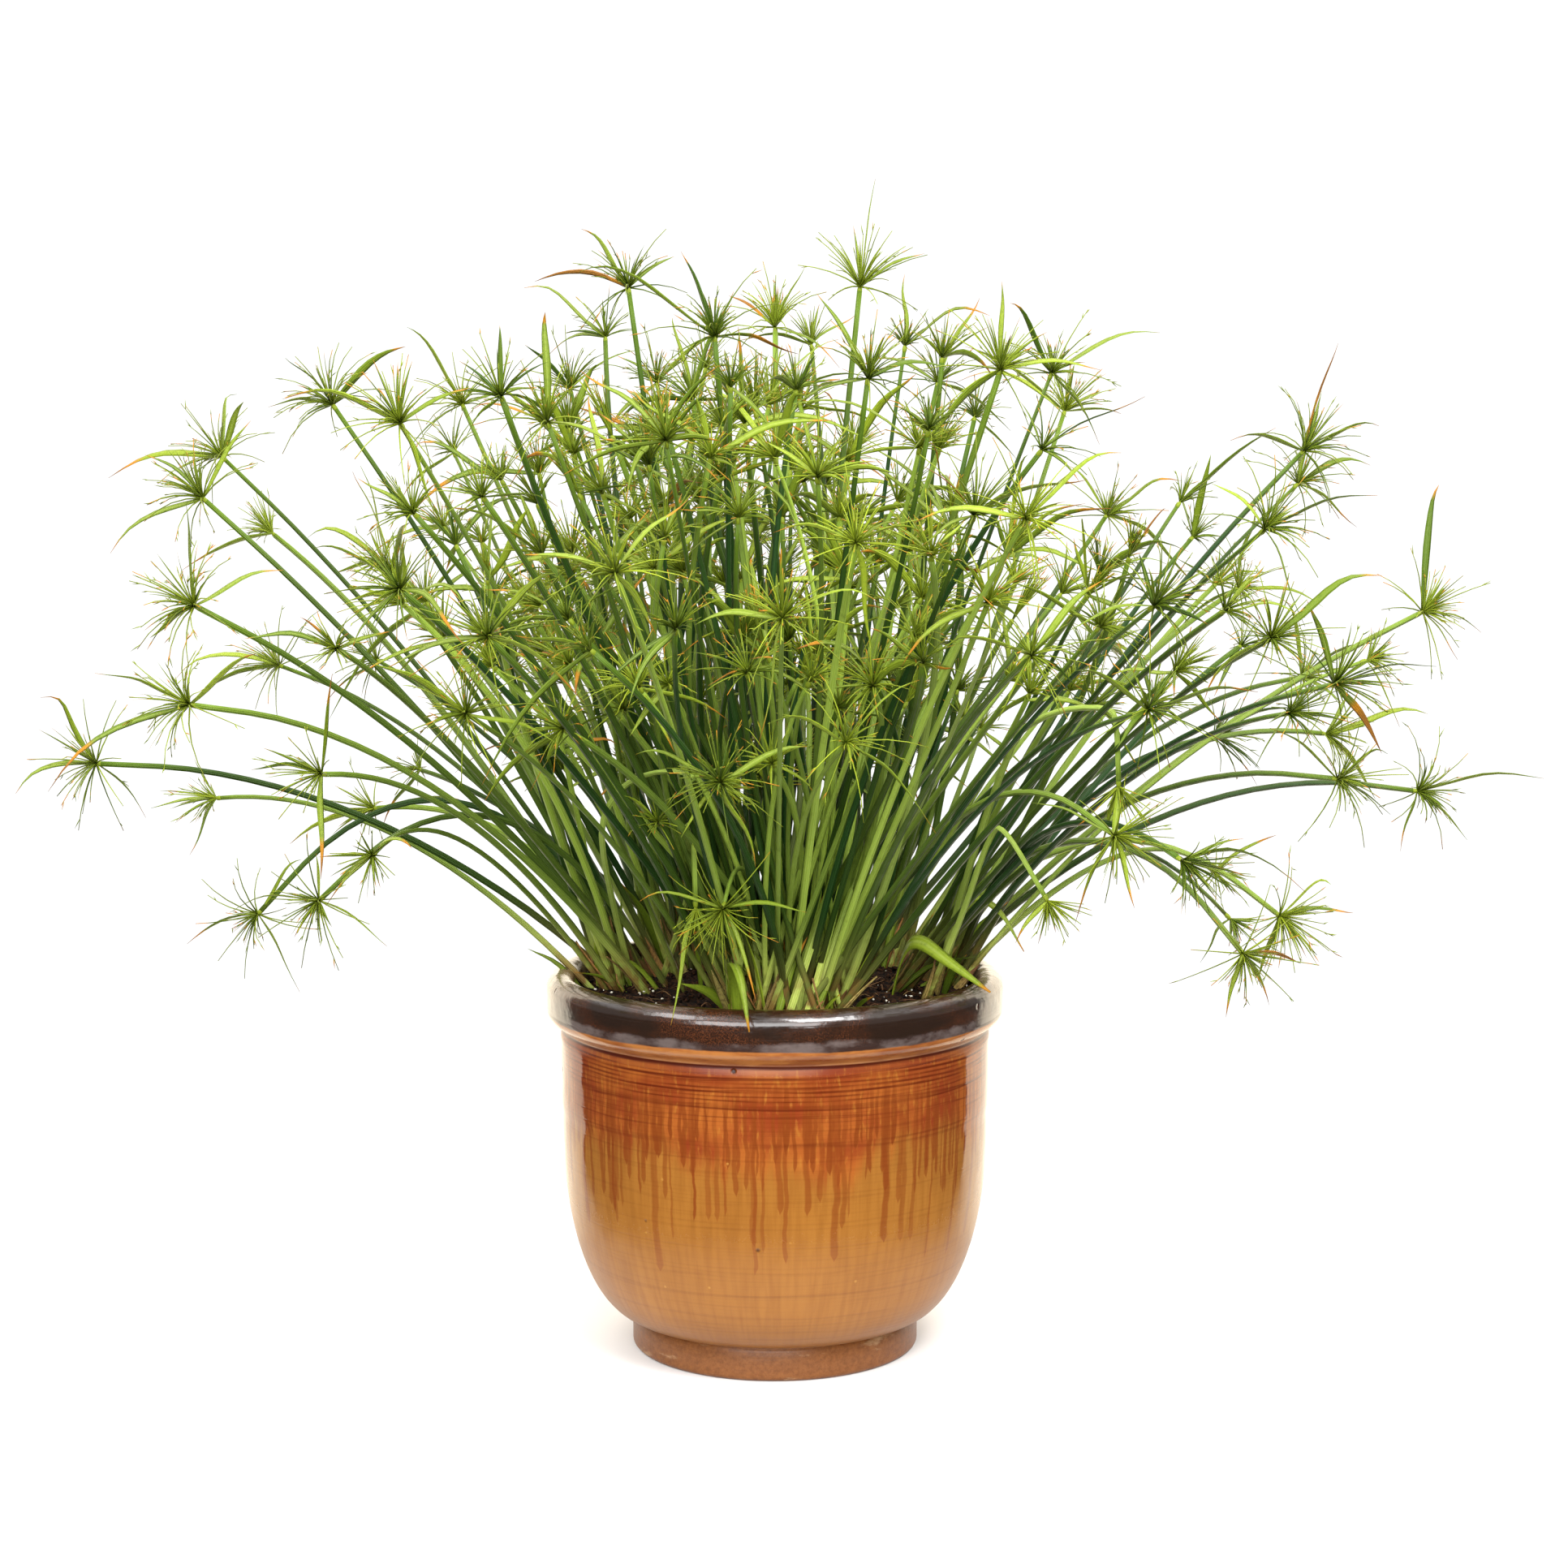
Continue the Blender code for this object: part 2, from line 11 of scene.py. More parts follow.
import bmesh
import bpy
import numpy as np
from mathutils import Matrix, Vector

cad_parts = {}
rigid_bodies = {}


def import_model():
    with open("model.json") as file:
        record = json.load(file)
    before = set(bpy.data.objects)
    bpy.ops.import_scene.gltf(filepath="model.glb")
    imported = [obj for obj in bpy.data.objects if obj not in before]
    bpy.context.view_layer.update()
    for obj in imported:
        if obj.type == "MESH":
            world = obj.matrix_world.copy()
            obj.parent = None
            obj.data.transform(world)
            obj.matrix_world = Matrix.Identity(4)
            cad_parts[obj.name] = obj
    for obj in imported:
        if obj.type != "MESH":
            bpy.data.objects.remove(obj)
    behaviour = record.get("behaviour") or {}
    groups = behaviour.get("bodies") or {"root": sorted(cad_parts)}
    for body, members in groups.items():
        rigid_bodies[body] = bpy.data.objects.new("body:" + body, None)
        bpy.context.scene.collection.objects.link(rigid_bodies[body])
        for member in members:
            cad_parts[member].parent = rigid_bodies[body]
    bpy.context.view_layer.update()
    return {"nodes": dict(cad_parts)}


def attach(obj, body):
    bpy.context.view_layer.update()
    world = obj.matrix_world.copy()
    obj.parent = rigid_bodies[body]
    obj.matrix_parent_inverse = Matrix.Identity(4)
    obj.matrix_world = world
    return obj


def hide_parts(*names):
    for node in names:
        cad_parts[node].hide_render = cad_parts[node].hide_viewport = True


MM = 0.001
CM = 0.01
UP = np.array((0.0, 0.0, 1.0))

# Camera, found from the pot's ellipses in the photograph.
CAMERA_PLACE = (0.006, -2.0, 0.62)
CAMERA_TILT = math.radians(7.07)
CAMERA_LENS = 71

# Studio: how bright the world is from each side, and the softboxes.
BACKDROP = 2.4
BACKDROP_TINT = (1.0, 0.90, 0.72)
BACKDROP_EDGE = math.cos(math.radians(55))
OVERHEAD = 1.8
AMBIENT = 0.3
SEEN_WHITE = 1.1
TABLE_RADIUS = 0.27
LIGHTS_AIM = (0, 0, 0.3)
LIGHTS = (
    ("key", 26, 43, 1.9, (0.95, 0.9), 40),
    ("fill", -54, 40, 2.0, (0.9, 0.9), 14),
    ("front", -8, 13, 2.4, (2.6, 1.0), 52),
)

# Pot, as the solid has it.
RIM_RADIUS = 150 * MM
RIM_TOP = 250 * MM
ROLL_RADIUS = 9.5 * MM
ROLL_DEPTH = 23 * MM
WALL_RADIUS = 140 * MM
WALL_THICKNESS = 9 * MM
BELLY_TOP = 160 * MM
BELLY_POWER = 2.3
NECK_RADIUS = 92.5 * MM
NECK_HEIGHT = 22.5 * MM
FOOT_RADIUS = 94.3 * MM
FOOT_BEVEL = 3.5 * MM
FLOOR_HEIGHT = 20 * MM
GROOVE_HEIGHT = 214 * MM
POT_TURNS = 160
POT_SWAY = 0.22 * MM
POT_SWAY_FROM = 30 * MM
RIM_GLAZE_FROM = RIM_TOP - ROLL_RADIUS - ROLL_DEPTH + 9 * MM

# Soil, as the solid has it.
SOIL_EDGE = 235 * MM
SOIL_MIDDLE = 241 * MM

# Culms: radius of the corners of their section at the soil and under the umbel, and the share of it drawn.
CULM_BASE = 3.3 * MM
CULM_TOP = 2.2 * MM
CULM_GIRTH = (0.64, 0.96)
CULM_STATIONS = 22
NATURAL_ARCH = 1.5 * CM
CLEARANCE = 0.3 * MM
LARGEST_LOT = 45

# Where the culms stand in the soil.
ROOT_DEPTH = 12 * MM
ROOT_LIMIT = 120 * MM
ROOT_SPACING = 6.5 * MM

# Umbels: number, length and thickness of the rays, and how many degrees they spread from the culm's way.
HUB_HEIGHT = 2.9 * MM
HUB_RADIUS = 1.9 * MM
HUB_REACH = 8 * MM
RAYS = (18, 33)
FILL_RAYS = (17, 32)
RAY_LENGTH = (16 * MM, 42 * MM)
RAY_THICKNESS = 0.52 * MM
RAY_STATIONS = 5
RAY_SPREAD = (50, 90)
HEAD_SIZE = (0.62, 1.05)
FLOWERING_SHARE = 0.22
YOUNG_SHARE = 0.2
YOUNG_SPREAD = (12, 32)

# Narrow blades among the rays, and the bracts.
BLADELETS = (6, 11)
BLADELET_WIDTH = (1.2 * MM, 2.3 * MM)
BLADELET_STATIONS = 7
BRACT_STATIONS = 9
BRACT_WIDTH = (3.2 * MM, 5.8 * MM)
SPARE_BRACTS = 3
LEAF_STATIONS = 24

# What lies on the soil: numbers of crumbs, pale grains and bits of dry stalk.
CRUMBS = 1300
PALE_GRAINS = 150
LITTER = 110

# Middle of each clump of culms at the soil, in centimetres.
CLUMPS = {
    "front": (0.8, -6.5),
    "left": (-8.3, 1.5),
    "right": (9.0, 2.5),
    "back_left": (-4.5, 7.5),
    "back_right": (4.8, 7.8),
}
SIDE_WEIGHT = 0.6

# The crown's middle height, and how far from there the umbels begin and end to be older and darker.
CROWN_HEIGHT = 42 * CM
CROWN_CORE = 22 * CM
CROWN_EDGE = 37 * CM

# Further stems that the photograph shows: the umbel's place, how far the culm arches above a straight line,
# and the tips of its bracts as (right, up) from the umbel, all in centimetres.
MORE_STEMS = (
    ((-35.5, 20, 52.5), 3, ((-6, -2),)),
    ((-38, 10, 35), 6, ((-5, -1), (-2, -4))),
    ((-26, -22, 40.5), 6, ((0, -6), (1, 6))),
    ((-24.5, -26, 48), 4, ((3, 1), (-2, 2))),
    ((-29, 26, 43), 3, ((-4, -3),)),
    ((-12, -22, 43), 2, ((-1, -2),)),
    ((-26, 26, 35), 4, ((-3, -4),)),
    ((-28, 16, 33.5), 6, ((-6, -2), (7, 1))),
    ((-24, -16, 35), 9, ((-3, -3),)),
    ((-15.5, -22, 62), 1, ((0, 4),)),
    ((-23.5, 28, 58), 1, ((-4, -3),)),
    ((-16, -28, 56.5), 2, ((4, 0),)),
    ((-20, -26, 55.5), 3, ((-3, 2),)),
    ((-29, 30, 50), 4, ((-4, -1),)),
    ((-18, 6, 56.5), 1, ((-6, 3),)),
    ((-20.5, -29, 51.5), 4, ((-3, -3),)),
    ((-11.5, 12, 66), 0, ((-5, 4),)),
    ((2.5, 14, 65.5), 0, ((3, 2),)),
    ((-5, 20, 64), 0, ((3, -4),)),
    ((-2.5, -18, 62.5), 1, ((3, -3),)),
    ((0, 28, 60), 0, ((3, 3),)),
    ((2.5, 30, 56.5), 0, ((3, 3),)),
    ((9, 18, 65.5), 0, ((0, 5),)),
    ((11, 6, 64.5), 0, ((3, 2),)),
    ((20, 16, 61), 1, ((-7, 5), (4, 0))),
    ((9, -18, 60), 1, ((-2, -3),)),
    ((14.5, 28, 60.5), 0, ((3, -3),)),
    ((15, -24, 59), 2, ((6, 3),)),
    ((2.5, -26, 57.5), 1, ((-3, 2),)),
    ((10, 30, 50.5), 1, ((3, -3),)),
    ((9, -24, 53), 2, ((2, 2),)),
    ((12, 30, 45), 0, ((-3, -2),)),
    ((8.5, -24, 47), 2, ((-3, 2),)),
    ((7, 28, 42.5), 0, ((7, 4),)),
    ((5.5, 20, 40.5), 0, ((-3, -3),)),
    ((2, -20, 45.5), 2, ((-3, 2),)),
    ((10.5, 14, 37), 1, ((3, -2),)),
    ((-5.5, -26, 49), 1, ((-4, -3),)),
    ((-10, -28, 48), 2, ((-4, 1),)),
    ((0, 22, 40.5), 0, ((3, -2),)),
    ((-1.5, -20, 46), 1, ((-3, 5),)),
    ((-5, 26, 43), 0, ((-2, 3),)),
    ((-2.5, 16, 39.5), 0, ((3, -2),)),
    ((-1.5, 31, 51), 0, ((-3, 3),)),
    ((0, -18, 40.5), 2, ((3, -2),)),
    ((-0.5, -8, 37.5), 1, ((2, -2),)),
    ((-7, -14, 36.5), 2, ((-2, 2),)),
    ((30, 24, 52), 3, ((1, 6),)),
    ((27, 8, 55), 3, ((6, 5),)),
    ((32, 26, 48.5), 4, ((-3, 2),)),
    ((25.5, -24, 50), 5, ((2, 2),)),
    ((33, 20, 44.5), 4, ((-2, -3),)),
    ((38.5, 2, 45), 5, ((2, -4),)),
    ((38, 14, 39), 7, ((2, 3), (7, 2))),
    ((29.5, -22, 44), 6, ((-2, -3),)),
    ((30.5, 16, 38.5), 5, ((3, -3),)),
    ((24, -18, 35), 9, ((4, 1),)),
    ((30, 10, 30), 9, ((4, 3),)),
    ((30.5, 6, 27.5), 11, ((-2, -3),)),
)

# Stems that fill the clumps where the photograph shows only their crowd.
FILL_STEMS = 205

# Stems that arch over or are folded: points of the culm from the soil on, and the tips of the bracts.
BENT_STEMS = (
    (
        ((-9.2, 1.8, 23.0), (-10.1, -5.5, 29.5), (-10.6, -11.5, 35.5), (-9.6, -12.6, 38.2),
         (-7.8, -13.2, 39.4), (-5.8, -13.6, 39.6), (-3.9, -13.8, 38.9)),
        ((3, -1), (-2, -3)),
    ),
    (
        ((-7.8, 1.5, 23.0), (-6.7, -1.0, 26.4), (-5.6, -5.0, 30.3), (-5.1, -9.0, 33.5),
         (-5.4, -12.4, 35.8), (-5.1, -12.9, 36.3), (-4.9, -13.1, 35.5), (-4.8, -13.1, 31.5)),
        ((1, -3),),
    ),
    (
        ((10.2, -1.5, 23.0), (12.4, -6.5, 33.0), (14.6, -10.6, 40.8), (16.0, -12.2, 42.6),
         (18.0, -13.0, 43.4), (20.2, -13.4, 43.4), (20.7, -13.6, 42.4), (20.9, -13.6, 39.0)),
        ((2, -3), (-1, -4)),
    ),
    (
        ((9.6, -3.5, 23.0), (11.8, -6.4, 29.5), (13.4, -8.2, 34.6), (14.4, -9.0, 35.2),
         (16.8, -10.2, 31.4)),
        ((-2, -2),),
    ),
)
BENT_TONE = 0.95
BENT_SIZE = 0.75

# Loose blades: width in centimetres, roll in degrees, and points from the soil to the tip.
LEAVES = {
    "leaf_front": (
        (0.8, 10),
        ((-2.2, -9.6, 22.2), (-2.4, -10.6, 25.6), (-2.5, -12.6, 27.6), (-2.0, -15.2, 27),
         (-1.5, -16.3, 24.1)),
    ),
    "leaf_right": (
        (1.1, -50),
        ((7.2, -3.4, 22.2), (8.2, -3.9, 26.4), (9.2, -4.8, 27.6), (11.2, -6.4, 26.5),
         (13.6, -8.3, 25.0)),
    ),
    "leaf_outer": (
        (0.8, -35),
        ((11.2, 0.2, 22.2), (11.6, -0.6, 26.5), (12.6, -1.8, 29.8), (14.4, -3.2, 29.4),
         (16.0, -4.4, 26.9)),
    ),
}

# Linear colours of the plant and the soil. In a pair, the deep one comes first.
CULM_GREENS = ((0.026, 0.056, 0.006), (0.40, 0.54, 0.075))
CULM_BLUE = (0.016, 0.052, 0.010)
CULM_GREY = (0.19, 0.23, 0.07)
CULM_NECK = (0.17, 0.27, 0.02)
CULM_FOOT = ((0.09, 0.085, 0.020), (0.54, 0.62, 0.13))
CULM_BROWN = (0.20, 0.095, 0.028)
CULM_SPECK = (0.03, 0.04, 0.008)
CULM_FURROW = (0.45, 0.60, 0.35)
CROWN_SHADE = (0.09, 0.13, 0.10)
RAY_GREENS = ((0.044, 0.082, 0.006), (0.285, 0.355, 0.020))
RAY_TIP = (0.31, 0.35, 0.035)
RAY_SPECK = (0.06, 0.09, 0.008)
BLADE_GREENS = ((0.048, 0.095, 0.008), (0.27, 0.35, 0.024))
BLADE_KEEL = (0.33, 0.40, 0.09)
BLADE_VEIN = (0.04, 0.08, 0.008)
BLADE_FOOT = (0.30, 0.38, 0.06)
DRY_ORANGE = (0.44, 0.19, 0.016)
DRY_BROWN = (0.28, 0.12, 0.020)
SHEATH_TONES = ((0.42, 0.36, 0.09), (0.46, 0.18, 0.045))
SHEATH_BROWN = (0.22, 0.09, 0.03)
SHEATH_FIBRE = (0.08, 0.035, 0.015)
SOIL_TONES = ((0.003, 0.001, 0.001), (0.060, 0.024, 0.009))
SOIL_FIBRE = (0.085, 0.030, 0.009)
GRAIN_WHITE = (0.88, 0.84, 0.70)
FLOOR_WHITE = (0.93, 0.93, 0.93)

# Linear colours of the pot.
OCHRES = ((0.262, 0.100, 0.017), (0.350, 0.145, 0.025))
OCHRE_FILM = (0.19, 0.062, 0.009)
# Painted shade of the belly's underside.
OCHRE_PAINTED_SHADE = (0.15, 0.056, 0.014)
REDS = ((0.215, 0.036, 0.009), (0.335, 0.092, 0.016))
HATCHING = (0.43, 0.175, 0.026)
DRIP_BROWN = (0.185, 0.040, 0.007)
THROWN_BROWN = (0.085, 0.011, 0.003)
LEVEL_BROWN = (0.07, 0.008, 0.002)
SPOT_TAN = (0.45, 0.22, 0.045)
PIT_BLACK = (0.035, 0.006, 0.002)
BAND_BROWNS = ((0.31, 0.088, 0.022), (0.52, 0.20, 0.050))
FOOT_BROWNS = ((0.135, 0.044, 0.010), (0.205, 0.074, 0.018))
FOOT_SCUFF = (0.42, 0.27, 0.14)
RIM_BLACK = (0.018, 0.008, 0.004)
RIM_SPECKS = ((0.016, 0.005, 0.002), (0.100, 0.030, 0.010))
RIM_GREYS = ((0.040, 0.022, 0.018), (0.15, 0.115, 0.105))
# Painted pale reflection at the rim's sides.
RIM_PAINTED_REFLECTIONS = ((0.08, 0.050, 0.034), (0.27, 0.19, 0.12))

# Runs of glaze: the stretch of wall for each, its largest half width, its shortest and longest, and a seed.
DRIPS_TOP = 170 * MM
DRIPS = (
    (8.6 * MM, 2.4 * MM, (10 * MM, 76 * MM), 1.0),
    (5.9 * MM, 2.1 * MM, (5 * MM, 56 * MM), 2.0),
    (31.0 * MM, 3.0 * MM, (55 * MM, 100 * MM), 3.0),
)

# Lines left by the thrower: their spacing, their half width as a share of it, their strength, and a seed.
THROWN_LINES = (
    (2.7 * MM, 0.30, 0.85, 2.0),
    (8.9 * MM, 0.14, 0.90, 12.0),
)

# Single lines round the wall: height, half width and strength.
LEVEL_LINES = (
    (213.5 * MM, 1.0 * MM, 0.9),
    (188.5 * MM, 1.0 * MM, 0.3),
    (65.5 * MM, 0.9 * MM, 0.12),
)

# How strongly the plant and the glaze mirror the studio.
PLANT_IOR = 1.25
WALL_IOR = 1.36
RIM_IOR = 1.75

# Sections that are drawn along a line, as (across, up) for a half width and a half height of 1.
TRIANGLE = [(math.cos(math.radians(turn)), math.sin(math.radians(turn))) for turn in (90, 210, 330)]
DIAMOND = [(-1, 0), (0, -0.8), (1, 0), (0, 0.4)]
BLADE = [(-1, 0), (-0.5, -0.25), (0, -0.8), (0.5, -0.25), (1, 0), (0.5, 0.45), (0, 0.1), (-0.5, 0.45)]


def unit(vectors):
    """The same directions with length 1."""
    return vectors / np.linalg.norm(vectors, axis=-1, keepdims=True)


def two_sides(axis):
    """Two directions at right angles to this one and to each other."""
    side = unit(np.cross(axis, (0.3, 0.5, 0.81)))
    return side, np.cross(axis, side)


def within(value, low=0, high=1):
    """The value, or the limit that it is past."""
    return min(high, max(low, value))


def rounded_triangle(points=9, roundness=0.16):
    """The section of a culm: three corners, rounded, and sides that bulge a little."""
    section = []
    for step in range(points):
        angle = math.tau * step / points
        reach = 1 - roundness * (1 - math.cos(3 * angle))
        section.append((reach * math.cos(angle), reach * math.sin(angle)))
    return section


def smooth(points, count):
    """Points spread along a smooth curve through the ones given."""
    points = np.array(points, float)
    ends = np.vstack([points[0] * 2 - points[1], points, points[-1] * 2 - points[-2]])
    where = np.linspace(0, len(points) - 1, count)
    index = np.minimum(where.astype(int), len(points) - 2)
    t = (where - index)[:, None]
    a, b, c, d = (ends[index + step] for step in range(4))
    bend = (a * 2 - b * 5 + c * 4 - d) * t**2 + (b * 3 - a - c * 3 + d) * t**3
    return (b * 2 + (c - a) * t + bend) / 2


def add_object(name, data):
    """A new object with this mesh, camera or light, in the scene."""
    obj = bpy.data.objects.new(name, data)
    bpy.context.scene.collection.objects.link(obj)
    return obj


class Growth:
    """The mesh of one piece, gathered bar by bar, with the values that its materials read at each point."""

    VALUES = ("turn", "along", "dry", "tone")

    def __init__(self, *materials):
        self.materials = materials
        self.points, self.faces, self.slots = [], [], []
        self.values = {name: [] for name in self.VALUES}
        self.count = 0

    def draw(self, lines, across, widths, heights, section, slot=0, dry=0.0, tone=0.5):
        """Adds closed bars. lines is bars x stations x 3, and the rest is stretched to fit it."""
        lines = np.array(lines)
        if lines.ndim == 2:
            lines = lines[None]
        bars, stations, _ = lines.shape
        along = unit(np.gradient(lines, axis=1))
        across = np.broadcast_to(across, lines.shape)
        across = unit(across - along * (along * across).sum(2, keepdims=True))
        up = np.cross(across, along)
        section = np.array(section)
        corners = len(section)
        shape = (bars, stations, corners)
        wide = np.broadcast_to(widths, (bars, stations))[..., None, None] * section[:, :1]
        high = np.broadcast_to(heights, (bars, stations))[..., None, None] * section[:, 1:]
        points = lines[:, :, None] + across[:, :, None] * wide + up[:, :, None] * high
        self.points.append(points.reshape(-1, 3))
        share = np.linspace(0, 1, stations)[None, :, None]
        self.keep("turn", np.arange(corners) / corners, shape)
        self.keep("along", share, shape)
        self.keep("dry", np.broadcast_to(dry, (bars, stations))[..., None], shape)
        self.keep("tone", np.broadcast_to(tone, (bars,))[:, None, None], shape)
        grid = self.count + np.arange(bars * stations * corners).reshape(shape)
        after = np.roll(grid, -1, axis=2)
        sides = np.stack([grid[:, :-1], grid[:, 1:], after[:, 1:], after[:, :-1]], -1)
        self.add_faces(sides.reshape(-1, 4), slot)
        self.add_faces(grid[:, 0], slot)
        self.add_faces(grid[:, -1, ::-1], slot)
        self.count += grid.size

    def keep(self, name, values, shape):
        """Stores one value for each new point."""
        self.values[name].append(np.broadcast_to(values, shape).reshape(-1))

    def add_faces(self, faces, slot):
        """Adds faces that carry the material in this slot."""
        self.faces.extend(faces.tolist())
        self.slots.extend([slot] * len(faces))

    def piece(self, name):
        """The finished object. Its faces look outward."""
        mesh = bpy.data.meshes.new(name)
        mesh.from_pydata(np.vstack(self.points), [], self.faces)
        for value, parts in self.values.items():
            attribute = mesh.attributes.new(value, "FLOAT", "POINT")
            attribute.data.foreach_set("value", np.concatenate(parts).astype(np.float32))
        for material in self.materials:
            mesh.materials.append(material)
        mesh.polygons.foreach_set("material_index", self.slots)
        mesh.polygons.foreach_set("use_smooth", [True] * len(mesh.polygons))
        return add_object(name, mesh)


class Nodes:
    """Short calls for the nodes of one tree. A value is a number, a colour or another node's output."""

    def __init__(self, tree):
        self.tree = tree

    def new(self, kind, values=(), **settings):
        node = self.tree.nodes.new(kind)
        for name, value in settings.items():
            setattr(node, name, value)
        for socket, value in dict(values).items():
            self.put(node.inputs[socket], value)
        return node

    def put(self, socket, value):
        if isinstance(value, bpy.types.NodeSocket):
            self.tree.links.new(value, socket)
        elif isinstance(value, tuple) and len(value) == 3 and socket.type == "RGBA":
            socket.default_value = (*value, 1)
        else:
            socket.default_value = value

    def value(self, name):
        """The piece's own value of this name, from its points."""
        return self.new("ShaderNodeAttribute", attribute_name=name).outputs["Fac"]

    def math(self, operation, a, b=0.0, c=0.0):
        return self.new("ShaderNodeMath", {0: a, 1: b, 2: c}, operation=operation).outputs[0]

    def plus(self, a, b):
        return self.math("ADD", a, b)

    def minus(self, a, b):
        return self.math("SUBTRACT", a, b)

    def times(self, a, b):
        return self.math("MULTIPLY", a, b)

    def divide(self, a, b):
        return self.math("DIVIDE", a, b)

    def absolute(self, a):
        return self.math("ABSOLUTE", a)

    def vector(self, x, y, z=0.0):
        return self.new("ShaderNodeCombineXYZ", {0: x, 1: y, 2: z}).outputs[0]

    def parts(self, vector):
        """The (x, y, z) of a vector."""
        return self.new("ShaderNodeSeparateXYZ", {0: vector}).outputs

    def channels(self, colour):
        """The (red, green, blue) of a colour."""
        return self.new("ShaderNodeSeparateColor", {0: colour}).outputs

    def step(self, value, low, high, start=0.0, end=1.0):
        """Goes smoothly from start to end as the value goes from low to high."""
        values = {"Value": value, "From Min": low, "From Max": high, "To Min": start, "To Max": end}
        node = self.new("ShaderNodeMapRange", values, interpolation_type="SMOOTHSTEP")
        return node.outputs["Result"]

    def mix(self, factor, a, b, blend="MIX"):
        """From colour a to colour b as the factor goes from 0 to 1."""
        node = self.new("ShaderNodeMix", {0: factor, 6: a, 7: b}, data_type="RGBA", blend_type=blend)
        return node.outputs[2]

    def paint(self, under, over, value, low, high, start=0.0, end=1.0):
        """The colour under, covered by the one over as the value goes from low to high."""
        return self.mix(self.step(value, low, high, start, end), under, over)

    def noise(self, vector, scale, detail=2.0, roughness=0.5):
        values = {"Vector": vector, "Scale": scale, "Detail": detail, "Roughness": roughness}
        return self.new("ShaderNodeTexNoise", values).outputs["Fac"]

    def place(self):
        """Where the point is, in the row frame."""
        return self.new("ShaderNodeTexCoord").outputs["Object"]

    def bump(self, height, distance, strength=1.0):
        values = {"Height": height, "Distance": distance, "Strength": strength}
        return self.new("ShaderNodeBump", values).outputs["Normal"]


class MaterialNodes(Nodes):
    """The nodes of one new material, which has a Principled shader."""

    def __init__(self, name):
        self.material = bpy.data.materials.new(name)
        self.material.use_nodes = True
        super().__init__(self.material.node_tree)
        self.shader = self.tree.nodes["Principled BSDF"]

    def finish(self, **inputs):
        """Sets the shader's inputs, with _ for a space in their names."""
        for name, value in inputs.items():
            self.put(self.shader.inputs[name.replace("_", " ")], value)
        return self.material


def ridges(nodes, count):
    """Fine lengthwise ridges: a wave round the section."""
    return nodes.math("COSINE", nodes.times(nodes.value("turn"), math.tau * count))


def dry_colour(nodes, green):
    """Green that goes orange and then brown where the plant dries."""
    dry = nodes.value("dry")
    orange = nodes.paint(green, DRY_ORANGE, dry, 0.1, 0.5)
    return nodes.paint(orange, DRY_BROWN, dry, 0.7, 1.0)


def crown_shade(nodes, tone, place):
    """How far a culm is darkened low in the crown's middle, where little light comes. Pale ones are less."""
    x, y, height = nodes.parts(place)
    flat = nodes.vector(nodes.times(x, 0.85), y)
    away = nodes.new("ShaderNodeVectorMath", {0: flat}, operation="LENGTH").outputs["Value"]
    shade = nodes.times(nodes.step(away, 0.088, 0.040), nodes.step(height, 0.52, 0.33, 0, 0.88))
    return nodes.times(shade, nodes.step(tone, 0.35, 0.8, 1, 0.3))


def culm_material():
    """Green of many tones, pale and then brown at the foot, and darker in the middle of the crown."""
    nodes = MaterialNodes("culm")
    tone, place = nodes.value("tone"), nodes.place()
    height = nodes.parts(place)[2]
    green = nodes.mix(nodes.step(tone, 0.2, 1.1), *CULM_GREENS)
    green = nodes.paint(green, CULM_BLUE, tone, 0.2, 0.05, 0, 0.9)
    green = nodes.paint(green, CULM_GREY, tone, 0.93, 0.98)
    green = nodes.paint(green, CULM_NECK, nodes.value("along"), 0.8, 1.0, 0, 0.5)
    foot = nodes.mix(nodes.step(tone, 0.15, 0.8), *CULM_FOOT)
    green = nodes.paint(green, foot, height, 0.31, 0.252, 0, 0.85)
    patch = nodes.step(nodes.noise(place, 90, 3), 0.42, 0.6)
    brown = nodes.times(nodes.step(height, 0.275, 0.243, 0, 0.9), patch)
    green = nodes.mix(brown, green, CULM_BROWN)
    speck = nodes.noise(place, 160, 3)
    green = nodes.paint(green, CULM_SPECK, speck, 0.58, 0.75, 0, 0.2)
    furrow = nodes.step(ridges(nodes, 9), 0.7, -0.9, 0, 0.35)
    green = nodes.mix(furrow, green, CULM_FURROW, "MULTIPLY")
    green = nodes.mix(crown_shade(nodes, tone, place), green, CROWN_SHADE, "MULTIPLY")
    return nodes.finish(
        Base_Color=dry_colour(nodes, green),
        Roughness=nodes.step(speck, 0.3, 0.7, 0.35, 0.5),
        IOR=PLANT_IOR,
        Normal=nodes.bump(ridges(nodes, 9), 0.25 * MM, 0.5),
    )


def ray_material():
    """Yellow-green rays, paler toward their tips."""
    nodes = MaterialNodes("ray")
    green = nodes.mix(nodes.value("tone"), *RAY_GREENS)
    green = nodes.paint(green, RAY_TIP, nodes.value("along"), 0.4, 1.0, 0, 0.3)
    speck = nodes.noise(nodes.place(), 700, 2)
    green = nodes.paint(green, RAY_SPECK, speck, 0.55, 0.7, 0, 0.12)
    return nodes.finish(
        Base_Color=dry_colour(nodes, green),
        Roughness=nodes.step(speck, 0.3, 0.7, 0.4, 0.6),
        IOR=PLANT_IOR,
    )


